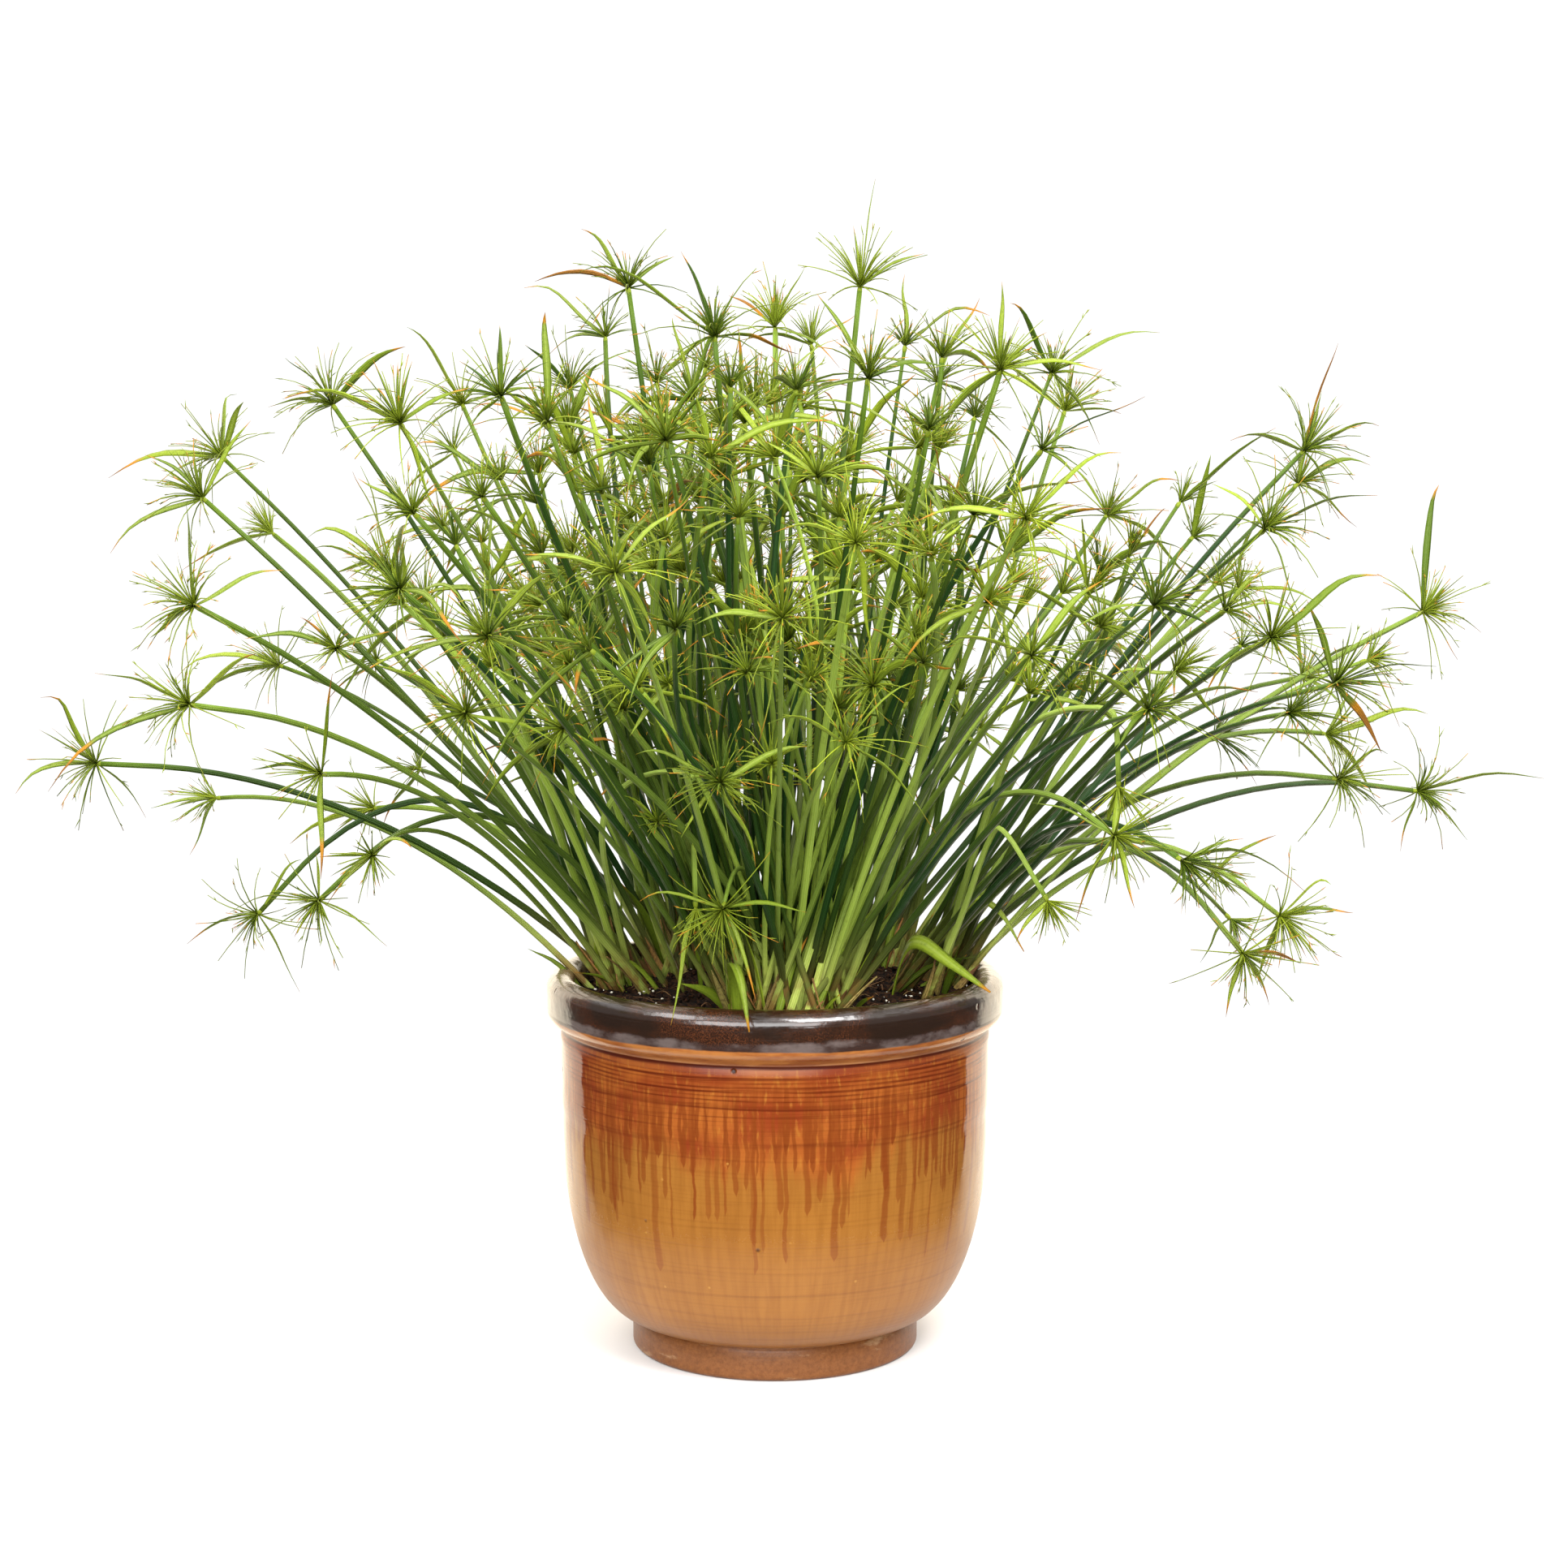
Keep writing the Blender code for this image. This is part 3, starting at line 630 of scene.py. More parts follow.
def blade_material():
    """Green bracts and blades with a pale keel, fine veins and a pale foot."""
    nodes = MaterialNodes("blade")
    green = nodes.mix(nodes.value("tone"), *BLADE_GREENS)
    keel = nodes.step(nodes.absolute(nodes.minus(nodes.value("turn"), 0.75)), 0.1, 0.0)
    green = nodes.mix(nodes.times(keel, 0.45), green, BLADE_KEEL)
    veins = nodes.noise(nodes.place(), 420, 4)
    green = nodes.paint(green, BLADE_VEIN, veins, 0.5, 0.75, 0, 0.35)
    green = nodes.paint(green, BLADE_FOOT, nodes.value("along"), 0.1, 0.0, 0, 0.6)
    return nodes.finish(
        Base_Color=dry_colour(nodes, green),
        Roughness=nodes.step(veins, 0.3, 0.7, 0.3, 0.5),
        Normal=nodes.bump(ridges(nodes, 8), 0.15 * MM, 0.5),
        IOR=PLANT_IOR,
    )


def sheath_material():
    """Straw to red-brown, with dark fibres."""
    nodes = MaterialNodes("sheath")
    fibre = nodes.noise(nodes.place(), 500, 4)
    straw = nodes.mix(nodes.value("tone"), *SHEATH_TONES)
    straw = nodes.paint(straw, SHEATH_BROWN, nodes.value("dry"), 0.3, 1.0)
    straw = nodes.paint(straw, SHEATH_FIBRE, fibre, 0.45, 0.7, 0, 0.6)
    return nodes.finish(Base_Color=straw, Roughness=0.75, Normal=nodes.bump(ridges(nodes, 8), 0.2 * MM, 0.8))


def wall_place(nodes):
    """(how far round the wall from the front, height) of a point on the pot, in metres."""
    x, y, z = nodes.parts(nodes.place())
    turn = nodes.math("ARCTAN2", x, nodes.times(y, -1.0))
    return nodes.times(turn, WALL_RADIUS), z


def wall_noise(nodes, wall, wide, high, seed, detail=2.0, roughness=0.5):
    """Noise with this many turns in a metre round the wall and up it. wall is the point's wall_place."""
    around, height = wall
    vector = nodes.vector(nodes.times(around, wide), nodes.times(height, high), seed)
    return nodes.noise(vector, 1.0, detail, roughness)


def drips(nodes, wall, spacing, width, lengths, seed):
    """Runs of glaze: one in each stretch of the wall, each with its own place, width and length."""
    around, height = wall
    wobble = wall_noise(nodes, wall, 5, 42, seed, 3)
    bent = nodes.plus(around, nodes.times(wobble, 5.5 * MM))
    cell = nodes.plus(nodes.divide(bent, spacing), seed * 17.0)
    index = nodes.math("FLOOR", cell)
    luck = nodes.new("ShaderNodeTexWhiteNoise", {"W": index}, noise_dimensions="1D")
    red, green, blue = nodes.channels(luck.outputs["Color"])
    local = nodes.minus(nodes.math("FRACT", cell), 0.5)
    shift = nodes.times(nodes.minus(red, 0.5), 0.6)
    away = nodes.times(nodes.absolute(nodes.minus(local, shift)), spacing)
    end = nodes.step(green, 0.0, 1.0, DRIPS_TOP - lengths[0], DRIPS_TOP - lengths[1])
    above = nodes.minus(height, end)
    bulb = nodes.times(nodes.step(above, 0.0, 0.006), nodes.step(above, 0.035, 0.004, 0.85, 1.0))
    half = nodes.times(nodes.step(blue, 0.0, 1.0, 0.35 * width, width), bulb)
    half = nodes.plus(half, 0.01 * MM)
    side = nodes.step(nodes.divide(away, half), 1.25, 0.6)
    return nodes.times(side, nodes.step(green, 0.0, 1.0, 1.0, 0.55))


def thrown_lines(nodes, wall, spacing, thick, seed):
    """Lines that a thrower's fingers leave: level, fine and broken, each of its own strength."""
    waver = wall_noise(nodes, wall, 5, 30, seed)
    cell = nodes.plus(nodes.divide(wall[1], spacing), nodes.times(waver, 2.2))
    index = nodes.math("FLOOR", cell)
    luck = nodes.new("ShaderNodeTexWhiteNoise", {"W": index}, noise_dimensions="1D").outputs["Value"]
    off = nodes.absolute(nodes.minus(nodes.math("FRACT", cell), 0.5))
    half = nodes.step(luck, 0, 1, 0.3 * thick, thick)
    line = nodes.step(nodes.divide(off, half), 1.3, 0.4)
    broken = nodes.step(wall_noise(nodes, wall, 14, 260, seed + 5, 3), 0.35, 0.6, 0.1, 1)
    return nodes.times(line, nodes.times(nodes.step(luck, 0, 1, 0.35, 1), broken))


def level_line(nodes, wall, middle, half, strength):
    """One groove or dark line round the wall at this height."""
    waver = wall_noise(nodes, wall, 8, 0, middle * 90)
    off = nodes.minus(nodes.plus(wall[1], nodes.times(waver, 3 * MM)), middle + 1.5 * MM)
    return nodes.step(nodes.absolute(off), half * 1.6, half * 0.4, 0.0, strength)


def ochre_colour(nodes, wall):
    """The bare ochre of the wall, filmed with brown, and with painted shade that darkens it toward the foot.
    """
    ochre = nodes.mix(nodes.noise(nodes.place(), 18, 3), *OCHRES)
    ochre = nodes.paint(ochre, OCHRE_FILM, wall_noise(nodes, wall, 240, 24, 1.0, 3), 0.35, 0.7, 0, 0.35)
    # Painted shade: the low belly darkens toward the foot.
    return nodes.paint(ochre, OCHRE_PAINTED_SHADE, wall[1], 0.055, 0.024, 0, 0.55)


def red_colour(nodes, wall):
    """The red-brown glaze, in patches and with short upright hatching."""
    patch = wall_noise(nodes, wall, 22, 30, 3.0, 4)
    red = nodes.mix(nodes.step(patch, 0.35, 0.65), *REDS)
    return nodes.paint(red, HATCHING, wall_noise(nodes, wall, 330, 95, 5.0, 3), 0.52, 0.74, 0, 0.5)


def red_cover(nodes, wall):
    """1 where the red-brown glaze covers the wall. Its lower edge is ragged, and lower in the front."""
    around, height = wall
    ragged = nodes.times(wall_noise(nodes, wall, 120, 3, 7.0, 3, 0.65), 0.055)
    broad = nodes.times(wall_noise(nodes, wall, 15, 1, 9.0), 0.05)
    front = nodes.step(nodes.absolute(around), 0.085, 0.045, 0, 0.012)
    return nodes.step(nodes.plus(nodes.plus(height, front), nodes.plus(ragged, broad)), 0.200, 0.226)


def spots(nodes):
    """Small pale spots where the glaze broke, in a few of a texture's cells."""
    cells = nodes.new("ShaderNodeTexVoronoi", {"Vector": nodes.place(), "Scale": 75.0})
    chosen, large, _ = nodes.channels(cells.outputs["Color"])
    size = nodes.times(large, 0.11)
    near = nodes.step(cells.outputs["Distance"], size, nodes.times(size, 0.5))
    return nodes.times(near, nodes.step(chosen, 0.72, 0.76, 0, 0.6))


def wall_colour(nodes, wall):
    """Ochre, and over it the red-brown glaze with its drips, hatching and lines."""
    height = wall[1]
    colour = nodes.mix(red_cover(nodes, wall), ochre_colour(nodes, wall), red_colour(nodes, wall))
    for spacing, width, lengths, seed in DRIPS:
        run = drips(nodes, wall, spacing, width, lengths, seed)
        fade = nodes.times(nodes.step(height, 0.215, 0.175), nodes.step(height, 0.06, 0.15, 0.75, 0.9))
        colour = nodes.mix(nodes.times(run, fade), colour, DRIP_BROWN)
    for spacing, thick, strength, seed in THROWN_LINES:
        lines = thrown_lines(nodes, wall, spacing, thick, seed)
        upper = nodes.step(height, 0.145, 0.20, 0.13 * strength, strength)
        colour = nodes.mix(nodes.times(lines, upper), colour, THROWN_BROWN)
    for middle, half, strength in LEVEL_LINES:
        colour = nodes.mix(level_line(nodes, wall, middle, half, strength), colour, LEVEL_BROWN)
    return nodes.mix(spots(nodes), colour, SPOT_TAN)


def rim_colour(nodes, wall):
    """Near black with red-brown specks, grey along the roll's lower edge, and a painted pale reflection at
    the sides.
    """
    around, height = wall
    speck = nodes.noise(nodes.place(), 1100, 6, 0.7)
    specked = nodes.mix(nodes.step(speck, 0.40, 0.66), *RIM_SPECKS)
    dark = nodes.paint(RIM_BLACK, specked, wall_noise(nodes, wall, 22, 40, 6.0, 3), 0.38, 0.62)
    edge = wall_noise(nodes, wall, 30, 50, 4.0, 4, 0.6)
    low = nodes.minus(height, nodes.times(edge, 9 * MM))
    grey = nodes.mix(nodes.step(edge, 0.4, 0.6), *RIM_GREYS)
    dark = nodes.paint(dark, grey, low, 0.2275, 0.2245, 0, 0.85)
    # Painted reflection: pale streaks on both sides of the rim, about 60 to 120 degrees round from the front.
    away = nodes.absolute(around)
    side = nodes.step(away, 1.05 * WALL_RADIUS, 1.35 * WALL_RADIUS)
    side = nodes.times(side, nodes.step(away, 2.1 * WALL_RADIUS, 1.75 * WALL_RADIUS))
    reflection_streak = wall_noise(nodes, wall, 60, 130, 14.0, 4, 0.6)
    pale = nodes.mix(nodes.step(reflection_streak, 0.35, 0.65), *RIM_PAINTED_REFLECTIONS)
    return nodes.mix(nodes.times(side, nodes.step(reflection_streak, 0.2, 0.5, 0.45, 0.95)), dark, pale)


def pot_colour(nodes, wall, rough, pit):
    """The wall's colour, and over it the band under the rim, the bare foot, the rim and the pits."""
    height = wall[1]
    blotch = wall_noise(nodes, wall, 28, 120, 8.0, 4, 0.6)
    band = nodes.mix(nodes.step(blotch, 0.35, 0.65), *BAND_BROWNS)
    colour = nodes.paint(wall_colour(nodes, wall), band, height, GROOVE_HEIGHT, GROOVE_HEIGHT + 1 * MM)
    foot = nodes.mix(nodes.step(rough, 0.3, 0.7), *FOOT_BROWNS)
    foot = nodes.paint(foot, FOOT_SCUFF, wall_noise(nodes, wall, 16, 70, 10.0, 5, 0.7), 0.58, 0.72, 0, 0.6)
    colour = nodes.paint(colour, foot, height, NECK_HEIGHT + 7 * MM, NECK_HEIGHT - 2 * MM)
    worn = wall_noise(nodes, wall, 26, 60, 4.0, 4, 0.6)
    rim_edge = nodes.plus(height, nodes.times(worn, 4 * MM))
    colour = nodes.paint(colour, rim_colour(nodes, wall), rim_edge, 0.2262, 0.2275)
    return nodes.mix(pit, colour, PIT_BLACK)


def pot_relief(nodes, wall, rough, pit):
    """Height of the glaze: faint thrown lines, soft waves, a lumpy rim, pits and a gritty foot."""
    height = wall[1]
    lines = thrown_lines(nodes, wall, 2.7 * MM, 0.24, 2.0)
    wave = nodes.noise(nodes.place(), 30, 2)
    lump = nodes.times(nodes.noise(nodes.place(), 75, 3), nodes.step(height, 0.225, 0.24, 0.0, 1.3))
    grit = nodes.times(nodes.step(height, NECK_HEIGHT + 4 * MM, 0.012), rough)
    surface = nodes.plus(nodes.times(lines, -0.08), nodes.times(wave, 2.0))
    surface = nodes.minus(nodes.plus(surface, lump), nodes.times(pit, 1.5))
    return nodes.plus(surface, nodes.times(grit, 0.35))


def pot_roughness(nodes, wall, rough):
    """Glossy above, and duller on the low belly, in the groove and on the rim."""
    height = wall[1]
    belly = nodes.step(height, 0.155, 0.075, 0.045, 0.36)
    rim = nodes.step(height, 0.222, 0.23, 0, 0.11)
    from_groove = nodes.absolute(nodes.minus(height, GROOVE_HEIGHT))
    groove = nodes.step(from_groove, 0.010, 0.004, 0, 0.25)
    gloss = nodes.plus(nodes.plus(belly, rim), groove)
    return nodes.plus(gloss, nodes.step(rough, 0.5, 0.8, 0, 0.08))


def glaze_material(name, ior):
    """Ochre under a red-brown glaze that runs down in drips, and a near black rim."""
    nodes = MaterialNodes(name)
    wall = wall_place(nodes)
    rough = nodes.noise(nodes.place(), 320, 4, 0.75)
    cells = nodes.new("ShaderNodeTexVoronoi", {"Vector": nodes.place(), "Scale": 24.0})
    pit = nodes.step(cells.outputs["Distance"], 0.06, 0.03)
    return nodes.finish(
        Base_Color=pot_colour(nodes, wall, rough, pit),
        Roughness=pot_roughness(nodes, wall, rough),
        Normal=nodes.bump(pot_relief(nodes, wall, rough, pit), 0.5 * MM, 0.7),
        IOR=ior,
    )


def soil_material():
    """Near black grains with brown fibres."""
    nodes = MaterialNodes("soil")
    grain = nodes.noise(nodes.place(), 330, 5, 0.7)
    colour = nodes.mix(nodes.step(grain, 0.42, 0.68), *SOIL_TONES)
    colour = nodes.paint(colour, SOIL_FIBRE, nodes.noise(nodes.place(), 120, 3), 0.58, 0.7, 0, 0.5)
    return nodes.finish(
        Base_Color=colour,
        Roughness=0.92,
        IOR=PLANT_IOR,
        Normal=nodes.bump(grain, 1.5 * MM, 1.0),
    )


def plain_material(name, colour, roughness, scale=250):
    """A plain colour that varies a little from grain to grain."""
    nodes = MaterialNodes(name)
    shade = nodes.noise(nodes.place(), scale, 3)
    dark = tuple(0.6 * part for part in colour)
    return nodes.finish(Base_Color=nodes.mix(shade, dark, colour), Roughness=roughness)


def outward(place):
    """0 in the crown's middle and 1 at its edge, from the front. The outer stems are older and darker."""
    away = math.hypot(place[0], 1.5 * (place[2] - CROWN_HEIGHT))
    return within((away - CROWN_CORE) / (CROWN_EDGE - CROWN_CORE))


class Stem:
    """One culm with its umbel: its line, its bracts as (side, start, bend, tip), and the tips of set rays."""

    def __init__(self, line, middle, bracts, tips, seed):
        self.line = line
        self.middle = middle
        self.bracts = bracts
        self.tips = tips
        self.luck = random.Random(seed)
        # Painted shade: a stem rooted further back gets a darker tone, and its culm, rays, blades and bracts
        # all share it.
        painted_shade_behind = within(line[0][1] / (8 * CM))
        self.tone = self.luck.random() * (1 - 0.3 * outward(line[-1])) * (1 - 0.2 * painted_shade_behind)
        self.rays = RAYS
        self.spare = self.luck.randint(0, 1) * int(not tips)
        self.size = self.luck.uniform(*HEAD_SIZE)
        self.spread = self.luck.uniform(*RAY_SPREAD)


def read_stem(node, seed):
    """The stem that a CAD node holds. It is followed ring by ring from the end in the soil to the hub."""
    bm = bmesh.new()
    bm.from_mesh(node.data)
    bmesh.ops.remove_doubles(bm, verts=bm.verts, dist=0.02 * MM)
    rings = [set(sorted(bm.verts, key=lambda vert: vert.co.z)[:3])]
    seen = set(rings[0])
    while len(rings) < 8:
        near = {edge.other_vert(vert) for vert in rings[-1] for edge in vert.link_edges} - seen
        rings.append(near)
        seen |= near
    line = np.array([np.mean([vert.co for vert in ring], axis=0) for ring in rings])
    middle = line[-1] + unit(line[-1] - line[-2]) * HUB_HEIGHT
    rest = [vert for vert in bm.verts if vert not in seen]
    far = [vert for vert in rest if np.linalg.norm(np.array(vert.co) - middle) > HUB_REACH]
    tips, bracts = [], []
    for vert in far:
        near = [edge.other_vert(vert) for edge in vert.link_edges]
        if not any(other in far for other in near):
            tips.append(np.array(vert.co))
        elif len(near) == 3:
            ring = [np.array(other.co) for other in near]
            pairs = [(a, b) for a in ring for b in ring]
            left, right = max(pairs, key=lambda pair: np.linalg.norm(pair[1] - pair[0]))
            bracts.append((unit(right - left), middle, (left + right) / 2, np.array(vert.co)))
    bm.free()
    return Stem(line, middle, bracts, tips, seed)


def soil_height(x, y):
    """Height of the heaped soil at this place."""
    share = min(1.0, math.hypot(x, y) / (WALL_RADIUS - WALL_THICKNESS))
    return SOIL_EDGE + (SOIL_MIDDLE - SOIL_EDGE) * (1 - share**2)


def clump_of(head):
    """The name of the clump that an umbel at this place most likely comes from."""
    away = {}
    for name, (x, y) in CLUMPS.items():
        away[name] = math.hypot(head[0] / 4 - x, (head[1] / 4 - y) * SIDE_WEIGHT)
    return min(away, key=away.get)


def fill_stems(luck):
    """Umbels that fill the middle of the crown, behind and between the ones the photograph shows singly."""
    found = []
    while len(found) < FILL_STEMS:
        x, y = luck.gauss(-1.5, 14), luck.uniform(-20, 27)
        roof = 64 - 0.022 * x**2 - 0.012 * y**2
        z = luck.uniform(36, roof)
        if abs(x) > 25 or y < -4 and z < 43 or abs(x) > 16 and z < 42:
            continue
        tips = ((luck.uniform(-6, 6), luck.uniform(-3, 6)), (luck.uniform(-5, 5), luck.uniform(-4, 3)))
        found.append(((x, y, z), luck.uniform(0, 2), tips[: luck.choice((1, 2))]))
    return found


def choose_roots(heads, taken, luck):
    """Where each further culm leaves the soil: in its clump, between the ones that stand there."""
    fixed = np.array(taken)
    roots = []
    for head in heads:
        x, y = CLUMPS[clump_of(head)]
        x = x + head[0] * 0.08 + luck.gauss(0, 1.3)
        y = y + head[1] * 0.05 + luck.gauss(0, 1.2)
        roots.append((x * CM, y * CM))
    roots = np.array(roots)
    for _ in range(150):
        every = np.vstack([roots, fixed])
        apart = roots[:, None] - every[None]
        distance = np.linalg.norm(apart, axis=2)
        distance[np.arange(len(roots)), np.arange(len(roots))] = 1
        push = np.clip(ROOT_SPACING - distance, 0, None) / np.maximum(distance, 1e-6)
        roots = roots + (apart * push[..., None]).sum(1) * 0.5
        reach = np.linalg.norm(roots, axis=1, keepdims=True)
        roots = roots * np.minimum(1, ROOT_LIMIT / reach)
    return roots


class Crowd:
    """The culms placed so far, as capsules, to keep a new one clear of them."""

    def __init__(self):
        self.starts = np.empty((0, 3))
        self.ends = np.empty((0, 3))
        self.radii = np.empty(0)

    def add(self, line):
        radii = culm_radii(len(line))
        self.starts = np.vstack([self.starts, line[:-1]])
        self.ends = np.vstack([self.ends, line[1:]])
        self.radii = np.append(self.radii, radii[:-1])

    def room(self, line):
        """The narrowest space between a new culm and the ones placed."""
        span = self.ends - self.starts
        reach = line[:, None] - self.starts[None]
        share = np.clip((reach * span).sum(2) / (span**2).sum(1), 0, 1)
        distance = np.linalg.norm(reach - share[..., None] * span, axis=2)
        return (distance - self.radii - culm_radii(len(line))[:, None]).min()


def culm_radii(count):
    """Radii along a culm at this many places."""
    return np.linspace(CULM_BASE, CULM_TOP, count)


def arched_line(root, head, arch, sway, count=CULM_STATIONS):
    """Points along a culm that leaves the soil, arches and ends under its umbel."""
    ground = np.array((root[0], root[1], soil_height(*root)))
    across = unit(np.cross(head - ground, UP))
    bend = (ground + head) / 2 + UP * arch + across * sway
    start = ground - unit(bend - ground) * ROOT_DEPTH
    t = np.linspace(0, 1, count)[:, None]
    return start * (1 - t) ** 2 + bend * 2 * t * (1 - t) + head * t**2


def new_stem(line, tips, seed):
    """A stem on this line, with bracts whose tips are at these places (right, up) from the umbel."""
    middle = line[-1] + unit(line[-1] - line[-2]) * HUB_HEIGHT
    stem = Stem(line, middle, [], [], seed)
    for right, up in tips:
        tip = middle + np.array((right, stem.luck.uniform(-2.5, 2.5), up)) * CM
        bend = (middle + tip) / 2 + UP * np.linalg.norm(tip - middle) * 0.045
        stem.bracts.append((unit(np.cross(tip - middle, UP)), middle, bend, tip))
    return stem


def clear_line(crowd, root, head, arch):
    """An arched line that keeps clear of the culms placed so far, swayed as little as that takes."""
    best = None
    for sway in (0, 1, -1, 2, -2, 3, -3, 4, -4, 5, -5):
        for lift in (0, 1.2, -0.8):
            line = arched_line(root, head, (arch + lift) * CM + NATURAL_ARCH, sway * CM)
            room = crowd.room(line)
            if best is None or room > best[0]:
                best = (room, line)
            if room > CLEARANCE:
                return line
    return best[1]


def more_stems(crowd, taken):
    """The further stems, by clump: the bent ones, the ones the photograph shows, and then the crowd."""
    luck = random.Random(11)
    made = []
    for index, (points, tips) in enumerate(BENT_STEMS):
        line = smooth(np.array(points) * CM, CULM_STATIONS)
        crowd.add(line)
        stem = new_stem(line, tips, 900 + index)
        stem.tone = BENT_TONE
        stem.size = BENT_SIZE
        made.append(("front", stem))
        taken.append(line[0][:2])
    wanted = list(MORE_STEMS) + fill_stems(luck)
    roots = choose_roots([head for head, _, _ in wanted], taken, luck)
    for index, (root, (head, arch, tips)) in enumerate(zip(roots, wanted)):
        line = clear_line(crowd, root, np.array(head) * CM, arch)
        crowd.add(line)
        stem = new_stem(line, tips, 1000 + index)
        if index >= len(MORE_STEMS):
            stem.spare = luck.randint(0, SPARE_BRACTS)
            stem.rays = FILL_RAYS
            if luck.random() < YOUNG_SHARE:
                stem.spread = luck.uniform(*YOUNG_SPREAD)
        made.append((clump_of(head), stem))
    return made


def draw_culm(growth, stem):
    """The culm with its three rounded corners, and the hub that closes it."""
    line = smooth(stem.line, CULM_STATIONS)
    across = np.cross(line[-1] - line[0], UP)
    radii = culm_radii(CULM_STATIONS) * stem.luck.uniform(*CULM_GIRTH)
    growth.draw(line, across, radii, radii, rounded_triangle(), 0, tone=stem.tone)
    axis = unit(line[-1] - line[-2])
    reach = HUB_HEIGHT + 0.6 * MM
    hub = line[-1] + axis * np.array((-2 * MM, 0.0, 0.6 * reach, reach))[:, None]
    wide = HUB_RADIUS * np.array((0.75, 1.0, 0.9, 0.35))
    growth.draw(hub, across, wide, wide, rounded_triangle(), 1, tone=0.6)


def ray_ways(stem, axis, count):
    """Ways that point evenly over most of a sphere round the culm's end."""
    side, other = two_sides(axis)
    low = math.cos(math.radians(stem.spread))
    ways = []
    for index in range(count):
        height = 1 - (1 - low) * (index + stem.luck.random()) / count
        turn = index * 2.39996 + stem.luck.uniform(-0.35, 0.35)
        flat = math.sqrt(max(0.0, 1 - height**2))
        ways.append(axis * height + (side * math.cos(turn) + other * math.sin(turn)) * flat)
    return np.array(ways)


def flung(luck, count, spread):
    """Random vectors, one for each ray."""
    return np.array([[luck.gauss(0, spread) for _ in range(3)] for _ in range(count)])


def bent_lines(stem, axis, tips, stations, lift, rise):
    """Lines from the umbel's middle to these tips, bent toward the culm's own way and upward."""
    span = tips - stem.middle
    length = np.linalg.norm(span, axis=1, keepdims=True)
    way = span / length
    t = np.linspace(0, 1, stations)[None, :, None]
    bend = (axis - way * (way @ axis)[:, None]) * length * lift + UP * length * rise
    return stem.middle + span[:, None] * t + bend[:, None] * (4 * t * (1 - t))


def draw_rays(growth, stem):
    """The umbel's rays: each bends out from the culm's end and forks at its tip."""
    luck = stem.luck
    axis = unit(stem.line[-1] - stem.line[-2])
    count = luck.randint(*stem.rays)
    ways = ray_ways(stem, axis, count)
    lengths = np.array([luck.uniform(*RAY_LENGTH) for _ in range(count)]) * stem.size
    tips = stem.middle + ways * lengths[:, None]
    if stem.tips:
        tips = np.vstack([tips, np.array(stem.tips)])
    count = len(tips)
    lines = bent_lines(stem, axis, tips, RAY_STATIONS, luck.uniform(0.02, 0.11), 0.03)
    side = unit(np.cross(tips - stem.middle, flung(luck, count, 1)))[:, None]
    thick = RAY_THICKNESS * np.linspace(1.2, 0.5, RAY_STATIONS)
    tone = np.array([within(stem.tone * 0.7 + luck.gauss(0.2, 0.16)) for _ in range(count)])
    age = luck.uniform(0.2, 1)
    withered = np.array([luck.random() ** 3 for _ in range(count)])[:, None] * age
    t = np.linspace(0, 1, RAY_STATIONS)
    dry = np.clip((t - 0.7) * 4.5 * withered, 0, 1)
    growth.draw(lines, side, thick, thick, TRIANGLE, 1, dry=dry, tone=tone)
    for _ in range(3 if luck.random() < FLOWERING_SHARE else 1):
        draw_spikelets(growth, stem, lines, tone)


def draw_spikelets(growth, stem, lines, tone):
    """Short pointed spikelets that fork off the outer part of the rays."""
    luck = stem.luck
    chosen = [index for index in range(len(lines)) if luck.random() < 0.5]
    lines, tone = lines[chosen], tone[chosen]
    count = len(lines)
    share = np.array([luck.uniform(0.1, 0.9) for _ in range(count)])[:, None]
    start = lines[:, -2] * (1 - share) + lines[:, -1] * share
    away = flung(luck, count, 0.27)
    way = unit(unit(lines[:, -1] - lines[:, -2]) + away)
    length = np.array([luck.uniform(3, 8) for _ in range(count)])[:, None] * MM
    t = np.array((0, 0.4, 1))[None, :, None]
    points = start[:, None] + (way * length)[:, None] * t
    side = unit(np.cross(way, away + 0.01))[:, None]
    thick = np.array((0.2, 0.4, 0.05)) * MM
    dry = np.array([luck.random() ** 4 for _ in range(count)])[:, None] * np.array((0.2, 0.7, 1.0))
    growth.draw(points, side, thick, thick, TRIANGLE, 1, dry=dry, tone=tone)


def draw_bladelets(growth, stem):
    """The narrow blades among the rays, wider than a ray and shorter than a bract."""
    luck = stem.luck
    axis = unit(stem.line[-1] - stem.line[-2])
    count = luck.randint(*BLADELETS)
    side, other = two_sides(axis)
    tips = []
    for index in range(count):
        lean = math.radians(luck.uniform(0.2, 1.0) * stem.spread)
        turn = math.tau * index / count + luck.uniform(-0.3, 0.3)
        flat = side * math.cos(turn) + other * math.sin(turn)
        reach = luck.uniform(0.55, 1.05) * RAY_LENGTH[1] * stem.size
        tips.append(stem.middle + (axis * math.cos(lean) + flat * math.sin(lean)) * reach)
    tips = np.array(tips)
    lines = bent_lines(stem, axis, tips, BLADELET_STATIONS, 0.05, 0.04)
    across = unit(np.cross(tips - stem.middle, flung(luck, count, 1)))[:, None]
    width = np.array([luck.uniform(*BLADELET_WIDTH) for _ in range(count)])[:, None]
    wide = width * blade_widths(BLADELET_STATIONS)
    t = np.linspace(0, 1, BLADELET_STATIONS)
    withered = np.array([luck.random() for _ in range(count)])[:, None]
    dry = np.clip((t - 0.7) * 3.5 * withered, 0, 1)
    tone = within(stem.tone * 0.6 + luck.gauss(0.25, 0.15))
    growth.draw(lines, across, wide, wide * 0.35, DIAMOND, 2, dry=dry, tone=tone)


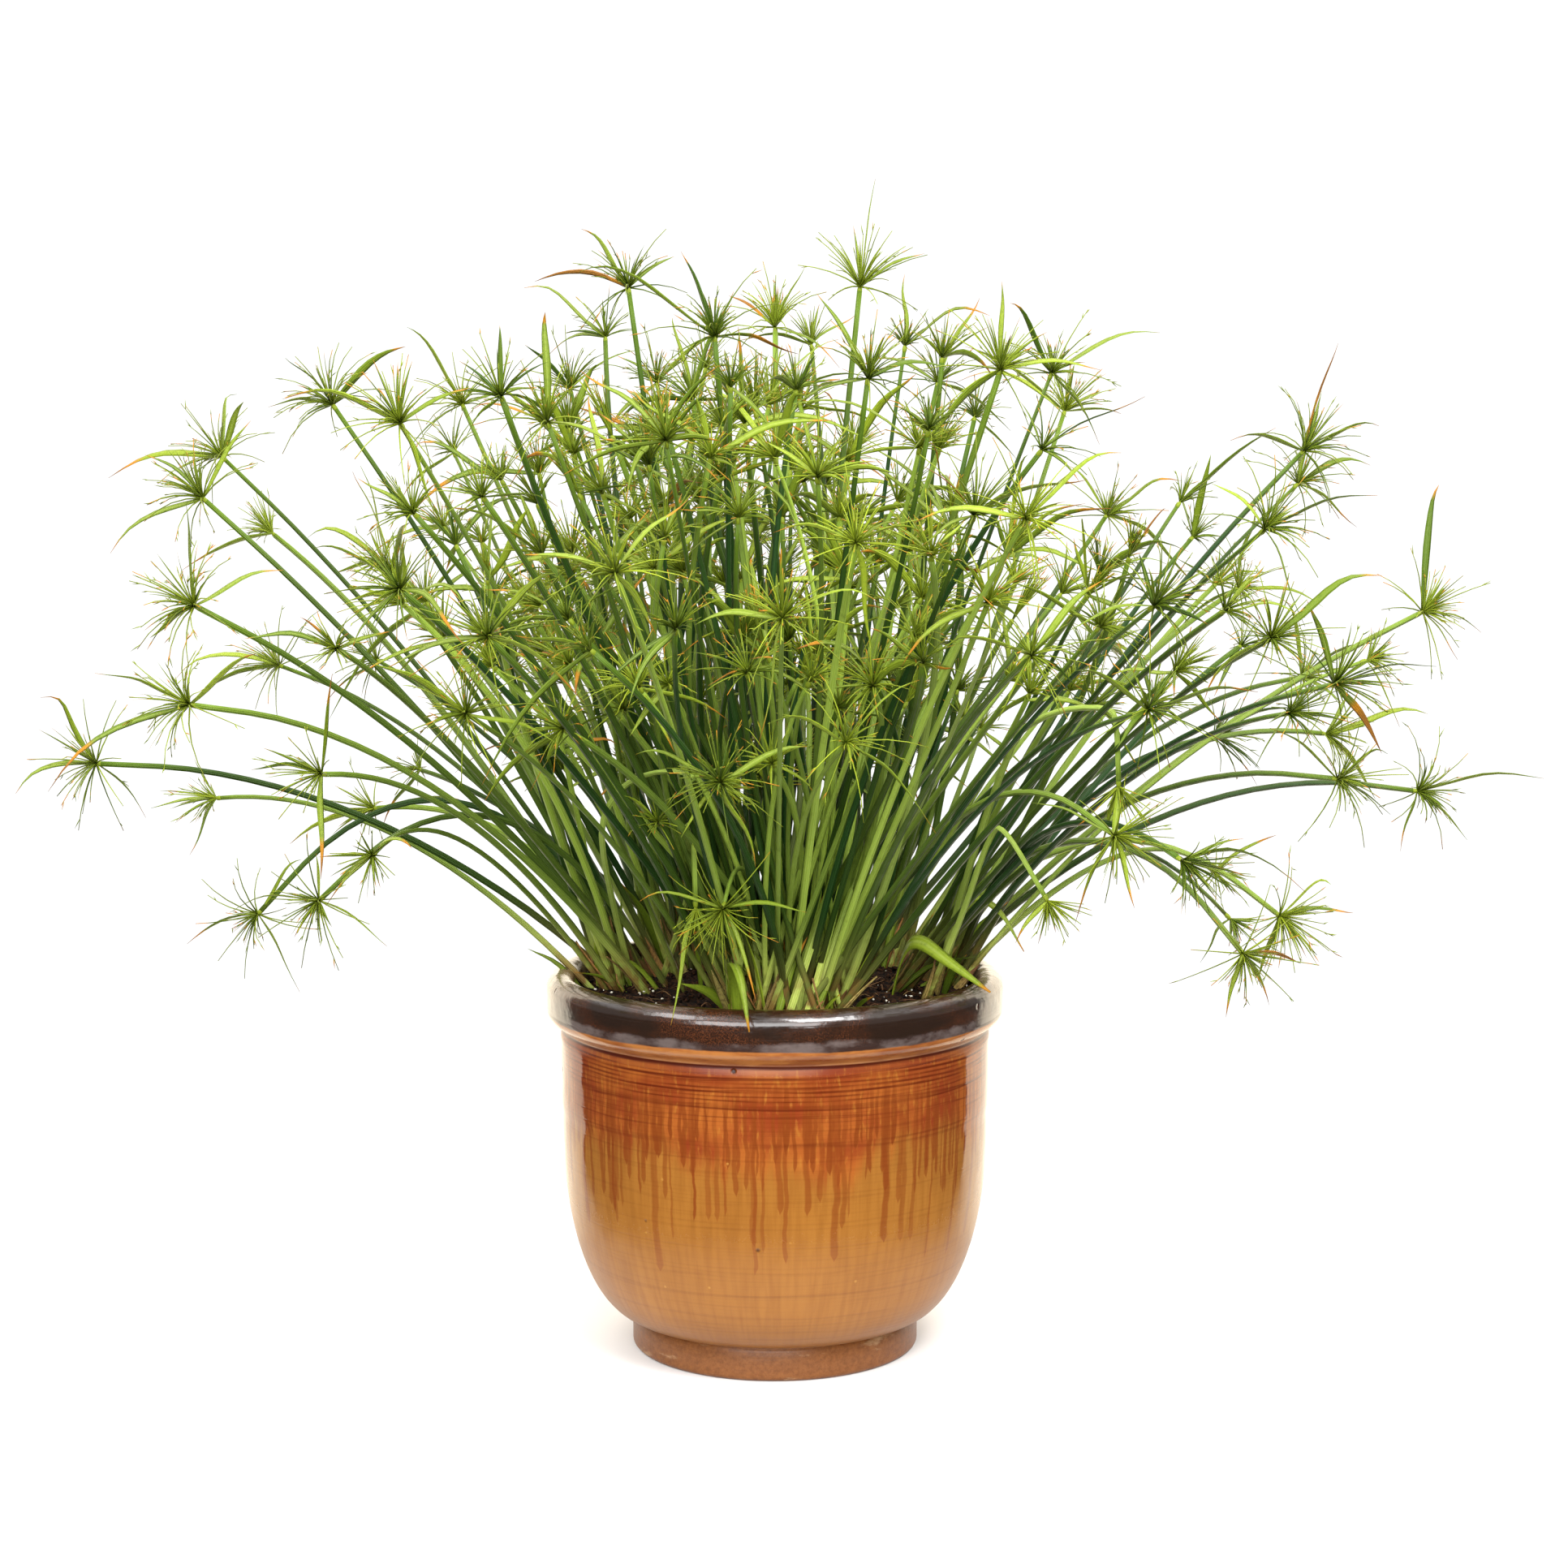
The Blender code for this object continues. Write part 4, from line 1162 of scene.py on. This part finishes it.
def blade_widths(count):
    """Half widths along a bract of width 1: it opens fast, stays wide and ends in a long point."""
    t = np.linspace(0, 1, count)
    return 0.5 * np.clip(np.minimum(0.45 + 1.8 * t, 1 - np.clip(t - 0.35, 0, 1) ** 1.5 * 1.9), 0.03, 1)


def bract_line(luck, start, bend, tip):
    """The way of a bract: through its bend to its tip, wavering, and often hooked at the end."""
    line = smooth((start, bend, tip), BRACT_STATIONS)
    t = np.linspace(0, 1, BRACT_STATIONS)[:, None]
    length = np.linalg.norm(tip - start)
    sway = np.array([luck.gauss(0, 0.014) for _ in range(3)]) * length
    line = line + sway * np.sin(t * math.tau)
    if luck.random() < 0.5:
        hook = np.array((luck.gauss(0, 0.5), luck.gauss(0, 0.5), -1.0)) * luck.uniform(0.04, 0.15) * length
        line = line + hook * np.clip((t - 0.65) / 0.35, 0, 1) ** 2
    return line


def draw_bracts(growth, stem):
    """The flat bracts, each with a keel, rolled a little about its length, and often dry at the tip."""
    luck = stem.luck
    t = np.linspace(0, 1, BRACT_STATIONS)
    for side, start, bend, tip in stem.bracts + spare_bracts(stem):
        line = bract_line(luck, start, bend, tip)
        roll = luck.uniform(0.35, 1.1) * luck.choice((-1, 1))
        along = unit(tip - start)
        turned = side * math.cos(roll) + np.cross(along, side) * math.sin(roll)
        longer = min(1.0, np.linalg.norm(tip - start) / (70 * MM))
        width = luck.uniform(*BRACT_WIDTH) * (0.5 + 0.5 * longer)
        wide = blade_widths(BRACT_STATIONS) * width
        green_until = luck.uniform(0.6, 1.0) if luck.random() < 0.96 else luck.uniform(-0.1, 0.4)
        dry = np.clip((t - green_until) * luck.uniform(2, 5), 0, 1)
        tone = within(stem.tone * 0.6 + luck.gauss(0.3, 0.2))
        growth.draw(line, turned, wide, wide * 0.28 + 0.15 * MM, BLADE, 2, dry=dry, tone=tone)


def spare_bracts(stem):
    """Shorter bracts that point anywhere outward."""
    luck = stem.luck
    axis = unit(stem.line[-1] - stem.line[-2])
    side, other = two_sides(axis)
    found = []
    for _ in range(stem.spare):
        turn = luck.uniform(0, math.tau)
        lean = math.radians(luck.uniform(20, 95))
        flat = side * math.cos(turn) + other * math.sin(turn)
        way = axis * math.cos(lean) + flat * math.sin(lean)
        length = luck.uniform(35, 95) * MM
        tip = stem.middle + way * length - UP * 0.12 * length
        bend = stem.middle + way * length * 0.5 + UP * 0.05 * length
        found.append((unit(np.cross(way, UP)), stem.middle, bend, tip))
    return found


def draw_stem(growth, stem):
    """One whole stem."""
    draw_culm(growth, stem)
    draw_rays(growth, stem)
    draw_bladelets(growth, stem)
    draw_bracts(growth, stem)


def draw_leaf(growth, width, roll, points, luck):
    """A loose blade that leaves the soil, arches over and ends in a dry point."""
    line = smooth(np.array(points) * CM, LEAF_STATIONS)
    along = unit(line[-1] - line[0])
    side = unit(np.cross(along, UP))
    roll = math.radians(roll)
    across = side * math.cos(roll) + np.cross(side, along) * math.sin(roll)
    t = np.linspace(0, 1, LEAF_STATIONS)
    shape = np.minimum(0.6 + 1.2 * t, 1 - np.clip(t - 0.45, 0, 1) ** 1.6 * 2.3)
    wide = width * CM / 2 * np.clip(shape, 0.05, 1)
    high = wide * 0.25 + 0.2 * MM
    dry = np.clip((t - 0.9) * 7, 0, 1)
    growth.draw(line, across, wide, high, BLADE, 0, dry=dry, tone=luck.uniform(0.5, 0.8))


def add_pot(wall, rim):
    """The pot, turned finely on the solid's profile, with the slight unevenness of a hand."""
    profile = pot_profile()
    bm = bmesh.new()
    rings = []
    luck = random.Random(3)
    waves = [(turns, luck.uniform(0, math.tau), luck.uniform(-1, 1)) for turns in (2, 3, 5, 8)]
    for radius, height in profile:
        ring = []
        for step in range(POT_TURNS):
            turn = math.tau * step / POT_TURNS
            sway = sum(size * math.sin(turns * turn + start) for turns, start, size in waves)
            reach = radius + POT_SWAY * sway if height > POT_SWAY_FROM else radius
            ring.append(bm.verts.new((reach * math.cos(turn), reach * math.sin(turn), height)))
        rings.append(ring)
    for upper, lower in zip(rings, rings[1:]):
        for step in range(POT_TURNS):
            after = (step + 1) % POT_TURNS
            bm.faces.new((upper[step], lower[step], lower[after], upper[after]))
    bm.faces.new(rings[0])
    bm.faces.new(rings[-1][::-1])
    for face in bm.faces:
        face.material_index = int(face.calc_center_median().z > RIM_GLAZE_FROM)
    bmesh.ops.recalc_face_normals(bm, faces=bm.faces)
    return add_mesh("glazed_pot", bm, wall, rim)


def arc(centre, radius, start, end, steps):
    """Points (radius, height) along an arc between two angles in degrees."""
    angles = [math.radians(start + (end - start) * step / steps) for step in range(steps + 1)]
    return [(centre[0] + radius * math.cos(a), centre[1] + radius * math.sin(a)) for a in angles]


def belly(angle, inset=0.0):
    """(radius, height) on the round lower wall: 0 degrees is its top, and 90 the neck above the foot."""
    drop = math.sin(math.radians(angle))
    bulge = math.sqrt(max(0.0, 1 - drop**BELLY_POWER))
    radius = NECK_RADIUS + (WALL_RADIUS - NECK_RADIUS) * bulge
    height = BELLY_TOP - (BELLY_TOP - NECK_HEIGHT) * drop
    lean = math.radians(angle)
    return radius - inset * math.cos(lean) ** 0.5, height + inset * math.sin(lean)


def pot_profile():
    """(radius, height) from the inside's floor over the rim and down to the foot."""
    roll_middle = RIM_RADIUS - ROLL_RADIUS
    roll_top = RIM_TOP - ROLL_RADIUS
    wall_top = roll_top - ROLL_DEPTH - 3 * MM
    profile = [(NECK_RADIUS - 2 * WALL_THICKNESS, FLOOR_HEIGHT + 2 * MM)]
    profile += [belly(angle, WALL_THICKNESS) for angle in range(80, -1, -8)]
    profile += arc((roll_middle, roll_top), ROLL_RADIUS, 180, 0, 18)
    profile += arc((roll_middle, roll_top - ROLL_DEPTH + ROLL_RADIUS), ROLL_RADIUS, 0, -62, 7)
    profile += [(WALL_RADIUS + 1.2 * MM, wall_top + 1.5 * MM), (WALL_RADIUS, wall_top)]
    profile += [(WALL_RADIUS - 0.3 * MM, wall_top - 1 * MM), (WALL_RADIUS + 0.3 * MM, wall_top - 2.5 * MM)]
    profile += [(WALL_RADIUS + 0.7 * MM, height * MM) for height in (206, 198, 190, 182, 174, 166)]
    profile += [belly(90 * step / 36) for step in range(37)]
    profile += [(FOOT_RADIUS - 1 * MM, NECK_HEIGHT - 1.5 * MM), (FOOT_RADIUS, NECK_HEIGHT - FOOT_BEVEL)]
    profile += arc((FOOT_RADIUS - FOOT_BEVEL, FOOT_BEVEL), FOOT_BEVEL, 0, -90, 5)
    return profile


def add_mesh(name, bm, *materials):
    """A smooth object of this mesh."""
    mesh = bpy.data.meshes.new(name)
    bm.to_mesh(mesh)
    bm.free()
    for material in materials:
        mesh.materials.append(material)
    mesh.polygons.foreach_set("use_smooth", [True] * len(mesh.polygons))
    return add_object(name, mesh)


def soil_spot(luck, margin):
    """A random place on the soil, at least this far from the wall."""
    radius = (WALL_RADIUS - WALL_THICKNESS - margin) * math.sqrt(luck.random())
    turn = luck.uniform(0, math.tau)
    return radius * math.cos(turn), radius * math.sin(turn)


def add_soil(material):
    """The soil's heaped and crumbly top, closed by a plain underside."""
    luck = random.Random(5)
    bm = bmesh.new()
    radius = WALL_RADIUS - WALL_THICKNESS - 0.3 * MM
    bmesh.ops.create_grid(bm, x_segments=110, y_segments=110, size=radius)
    far = [vert for vert in bm.verts if math.hypot(vert.co.x, vert.co.y) > radius]
    bmesh.ops.delete(bm, geom=far, context="VERTS")
    for vert in bm.verts:
        x, y, _ = vert.co
        lump = math.sin(x * 190) * math.cos(y * 170) + math.sin(x * 77 + y * 91)
        vert.co.z = soil_height(x, y) + (1.1 * lump + luck.uniform(-1.3, 1.0)) * MM
    top = list(bm.faces)
    edge = bmesh.ops.extrude_face_region(bm, geom=top)
    for vert in (item for item in edge["geom"] if isinstance(item, bmesh.types.BMVert)):
        vert.co.z -= 30 * MM
    bmesh.ops.recalc_face_normals(bm, faces=bm.faces)
    return add_mesh("soil_top", bm, material)


def add_grains(name, material, count, sizes, seed, lift=0.0):
    """Small uneven lumps that lie on the soil."""
    luck = random.Random(seed)
    bm = bmesh.new()
    for _ in range(count):
        x, y = soil_spot(luck, 4 * MM)
        size = luck.uniform(*sizes)
        lump = bmesh.ops.create_icosphere(bm, subdivisions=1, radius=size)["verts"]
        for vert in lump:
            vert.co *= luck.uniform(0.5, 1.3)
            vert.co.z *= 0.8
            vert.co.x += x
            vert.co.y += y
            vert.co.z += soil_height(x, y) + 0.5 * size + lift
    return add_mesh(name, bm, material)


def add_sheaths(material, stems, luck):
    """Dry pointed sheaths round the feet of the culms."""
    growth = Growth(material)
    for stem in stems:
        if luck.random() < 0.3:
            continue
        line = smooth(stem.line, CULM_STATIONS)
        across = np.cross(line[-1] - line[0], UP)
        along = unit(line[3] - line[1])
        side = unit(across)
        turn = luck.uniform(0, math.tau)
        out = side * math.cos(turn) + np.cross(along, side) * math.sin(turn)
        height = luck.uniform(18, 58) * MM
        t = np.linspace(0, 1, 7)[:, None]
        foot = stem.line[0] + unit(stem.line[1] - stem.line[0]) * 4 * MM
        flare = luck.uniform(0.4, 6) * MM
        points = foot + along * height * t + out * (CULM_BASE * 0.95 + flare * t**3)
        wide = 3.2 * MM * np.clip(1 - t[:, 0] ** 2.2, 0.06, 1)
        dry = np.clip(t[:, 0] * luck.uniform(0.3, 1.2), 0, 1)
        growth.draw(points, np.cross(out, along), wide, 0.9 * MM, BLADE, 0, dry=dry, tone=luck.random())
    return growth.piece("sheaths")


def add_litter(material, luck):
    """Short curved bits of dry stalk and root that lie on the soil."""
    growth = Growth(material)
    for _ in range(LITTER):
        x, y = soil_spot(luck, 6 * MM)
        way = luck.uniform(0, math.tau)
        length = luck.uniform(5, 20) * MM
        middle = np.array((x, y, soil_height(x, y) + 1.6 * MM))
        half = np.array((math.cos(way), math.sin(way), luck.uniform(-0.1, 0.35))) * length / 2
        bend = middle + UP * luck.uniform(0.5, 3) * MM
        line = smooth((middle - half, bend, middle + half), 6)
        wide = luck.uniform(0.25, 0.8) * MM * np.array((0.6, 1, 1, 1, 0.8, 0.3))
        dry = luck.uniform(0.5, 1)
        growth.draw(line, np.cross(half, UP), wide, 0.3 * MM, DIAMOND, 0, dry=dry, tone=luck.random())
    return growth.piece("litter")


def add_shoots(material, stems, luck):
    """Short green blades that grow between the culms."""
    growth = Growth(material)
    for stem in stems:
        if luck.random() < 0.62:
            continue
        root = stem.line[0] + np.array((luck.uniform(-9, 9), luck.uniform(-9, 9), 0)) * MM
        way = unit(unit(stem.line[3] - stem.line[0]) + np.array([luck.gauss(0, 0.22) for _ in range(3)]))
        height = luck.uniform(35, 95) * MM
        tip = root + way * height
        bend = (root + tip) / 2 + UP * height * 0.12
        line = smooth((root, bend, tip), 9)
        wide = luck.uniform(2.2, 4.0) * MM * blade_widths(9) * 2
        t = np.linspace(0, 1, 9)
        dry = np.clip((t - luck.uniform(0.7, 1.2)) * 5, 0, 1)
        across = unit(np.cross(way, (luck.gauss(0, 1), luck.gauss(0, 1), 0)))
        growth.draw(line, across, wide, wide * 0.3, BLADE, 0, dry=dry, tone=luck.uniform(0.2, 0.9))
    return growth.piece("shoots")


def add_camera():
    """The photograph's camera."""
    camera = bpy.data.cameras.new("camera")
    camera.lens = CAMERA_LENS
    obj = add_object("camera", camera)
    obj.location = CAMERA_PLACE
    obj.rotation_euler = (math.pi / 2 - CAMERA_TILT, 0, 0)
    bpy.context.scene.camera = obj


def add_light(name, azimuth, elevation, distance, size, power):
    """A softbox that faces the plant. Azimuth 0 is the camera's side, and 90 the camera's right."""
    light = bpy.data.lights.new(name, "AREA")
    light.shape = "RECTANGLE"
    light.size, light.size_y = size
    light.energy = power
    turn, rise = math.radians(azimuth), math.radians(elevation)
    way = Vector((math.sin(turn) * math.cos(rise), -math.cos(turn) * math.cos(rise), math.sin(rise)))
    obj = add_object(name, light)
    obj.location = Vector(LIGHTS_AIM) + way * distance
    obj.rotation_mode = "QUATERNION"
    obj.rotation_quaternion = way.to_track_quat("Z", "Y")


def studio_world():
    """White to the camera. Its light is bright from overhead and from the backdrop, and dim elsewhere."""
    world = bpy.data.worlds.new("studio")
    world.use_nodes = True
    nodes = Nodes(world.node_tree)
    x, y, z = nodes.parts(nodes.new("ShaderNodeTexCoord").outputs["Generated"])
    flat = nodes.math("SQRT", nodes.plus(nodes.times(x, x), nodes.times(y, y)))
    edge = (BACKDROP_EDGE - 0.01, BACKDROP_EDGE + 0.01)
    behind = nodes.step(nodes.divide(y, flat), *edge, 0, BACKDROP)
    overhead = nodes.step(z, 0.35, 0.75, 0, OVERHEAD)
    light = nodes.plus(nodes.math("MAXIMUM", behind, overhead), AMBIENT)
    light = nodes.times(light, nodes.step(z, -0.1, 0.0, 0.25, 1.0))
    light = nodes.math("MAXIMUM", light, behind)
    seen = nodes.new("ShaderNodeLightPath").outputs["Is Camera Ray"]
    strength = nodes.math("MULTIPLY_ADD", nodes.minus(SEEN_WHITE, light), seen, light)
    tint = nodes.times(nodes.divide(behind, BACKDROP), nodes.minus(1.0, seen))
    background = world.node_tree.nodes["Background"]
    nodes.put(background.inputs["Color"], nodes.mix(tint, (1, 1, 1), BACKDROP_TINT))
    nodes.put(background.inputs["Strength"], strength)
    bpy.context.scene.world = world
    bpy.context.scene.view_settings.view_transform = "Standard"


def add_floor():
    """A small pale table top. It ends a little outside the pot, so the wall's front doesn't mirror it."""
    bm = bmesh.new()
    bmesh.ops.create_circle(bm, cap_ends=True, segments=96, radius=TABLE_RADIUS)
    floor = add_mesh("floor", bm, plain_material("floor", FLOOR_WHITE, 0.9, 0.5))


def add_cad_stems(frame, crowd, materials):
    """A detailed stem in place of each one that the frame holds. Returns them all."""
    stems = []
    names = sorted(name for name in frame["nodes"] if name.startswith("stem_"))
    for index, name in enumerate(names):
        stem = read_stem(frame["nodes"][name], index)
        crowd.add(smooth(stem.line, CULM_STATIONS))
        stems.append(stem)
        growth = Growth(*materials)
        draw_stem(growth, stem)
        piece = growth.piece("papyrus_" + name)
        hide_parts(name)
        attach(piece, "root")
    return stems


def add_more_stems(crowd, taken, materials):
    """The further stems, in a few pieces for each clump. Returns them all."""
    lots = {}
    stems = []
    for clump, stem in more_stems(crowd, taken):
        lots.setdefault(clump, []).append(stem)
        stems.append(stem)
    for clump, lot in lots.items():
        for start in range(0, len(lot), LARGEST_LOT):
            growth = Growth(*materials)
            for stem in lot[start : start + LARGEST_LOT]:
                draw_stem(growth, stem)
            piece = growth.piece(f"more_stems_{clump}_{start // LARGEST_LOT + 1}")
            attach(piece, "root")
    return stems


def add_leaves(blade, luck):
    """The loose blades, in place of the solid ones."""
    for name, ((width, roll), points) in LEAVES.items():
        growth = Growth(blade)
        draw_leaf(growth, width, roll, points, luck)
        piece = growth.piece("blade_" + name)
        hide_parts(name)
        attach(piece, "root")


def add_pot_and_soil():
    """The glazed pot, and the soil in it."""
    pot = add_pot(glaze_material("glaze", WALL_IOR), glaze_material("rim_glaze", RIM_IOR))
    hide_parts("pot")
    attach(pot, "root")
    soil = add_soil(soil_material())
    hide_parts("soil")
    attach(soil, "root")


def add_ground_cover(stems, blade, luck):
    """What lies on the soil and grows between the culms' feet."""
    crumbs = add_grains("soil_crumbs", soil_material(), CRUMBS, (0.5 * MM, 2.3 * MM), 31)
    pale = plain_material("perlite", GRAIN_WHITE, 0.8)
    grains = add_grains("pale_grains", pale, PALE_GRAINS, (0.4 * MM, 1.1 * MM), 32, 1.6 * MM)
    dry = sheath_material()
    sheaths = add_sheaths(dry, stems, luck)
    litter = add_litter(dry, luck)
    shoots = add_shoots(blade, stems, luck)
    for piece in (crumbs, grains, litter):
        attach(piece, "root")
    for piece in (sheaths, shoots):
        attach(piece, "root")


def main():
    for obj in list(bpy.data.objects):
        bpy.data.objects.remove(obj)
    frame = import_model()

    blade = blade_material()
    materials = (culm_material(), ray_material(), blade)
    crowd = Crowd()
    stems = add_cad_stems(frame, crowd, materials)
    taken = [stem.line[1][:2] for stem in stems]
    stems += add_more_stems(crowd, taken, materials)
    luck = random.Random(21)
    add_leaves(blade, luck)
    add_pot_and_soil()
    add_ground_cover(stems, blade, luck)

    add_camera()
    studio_world()
    add_floor()
    for light in LIGHTS:
        add_light(*light)


main()
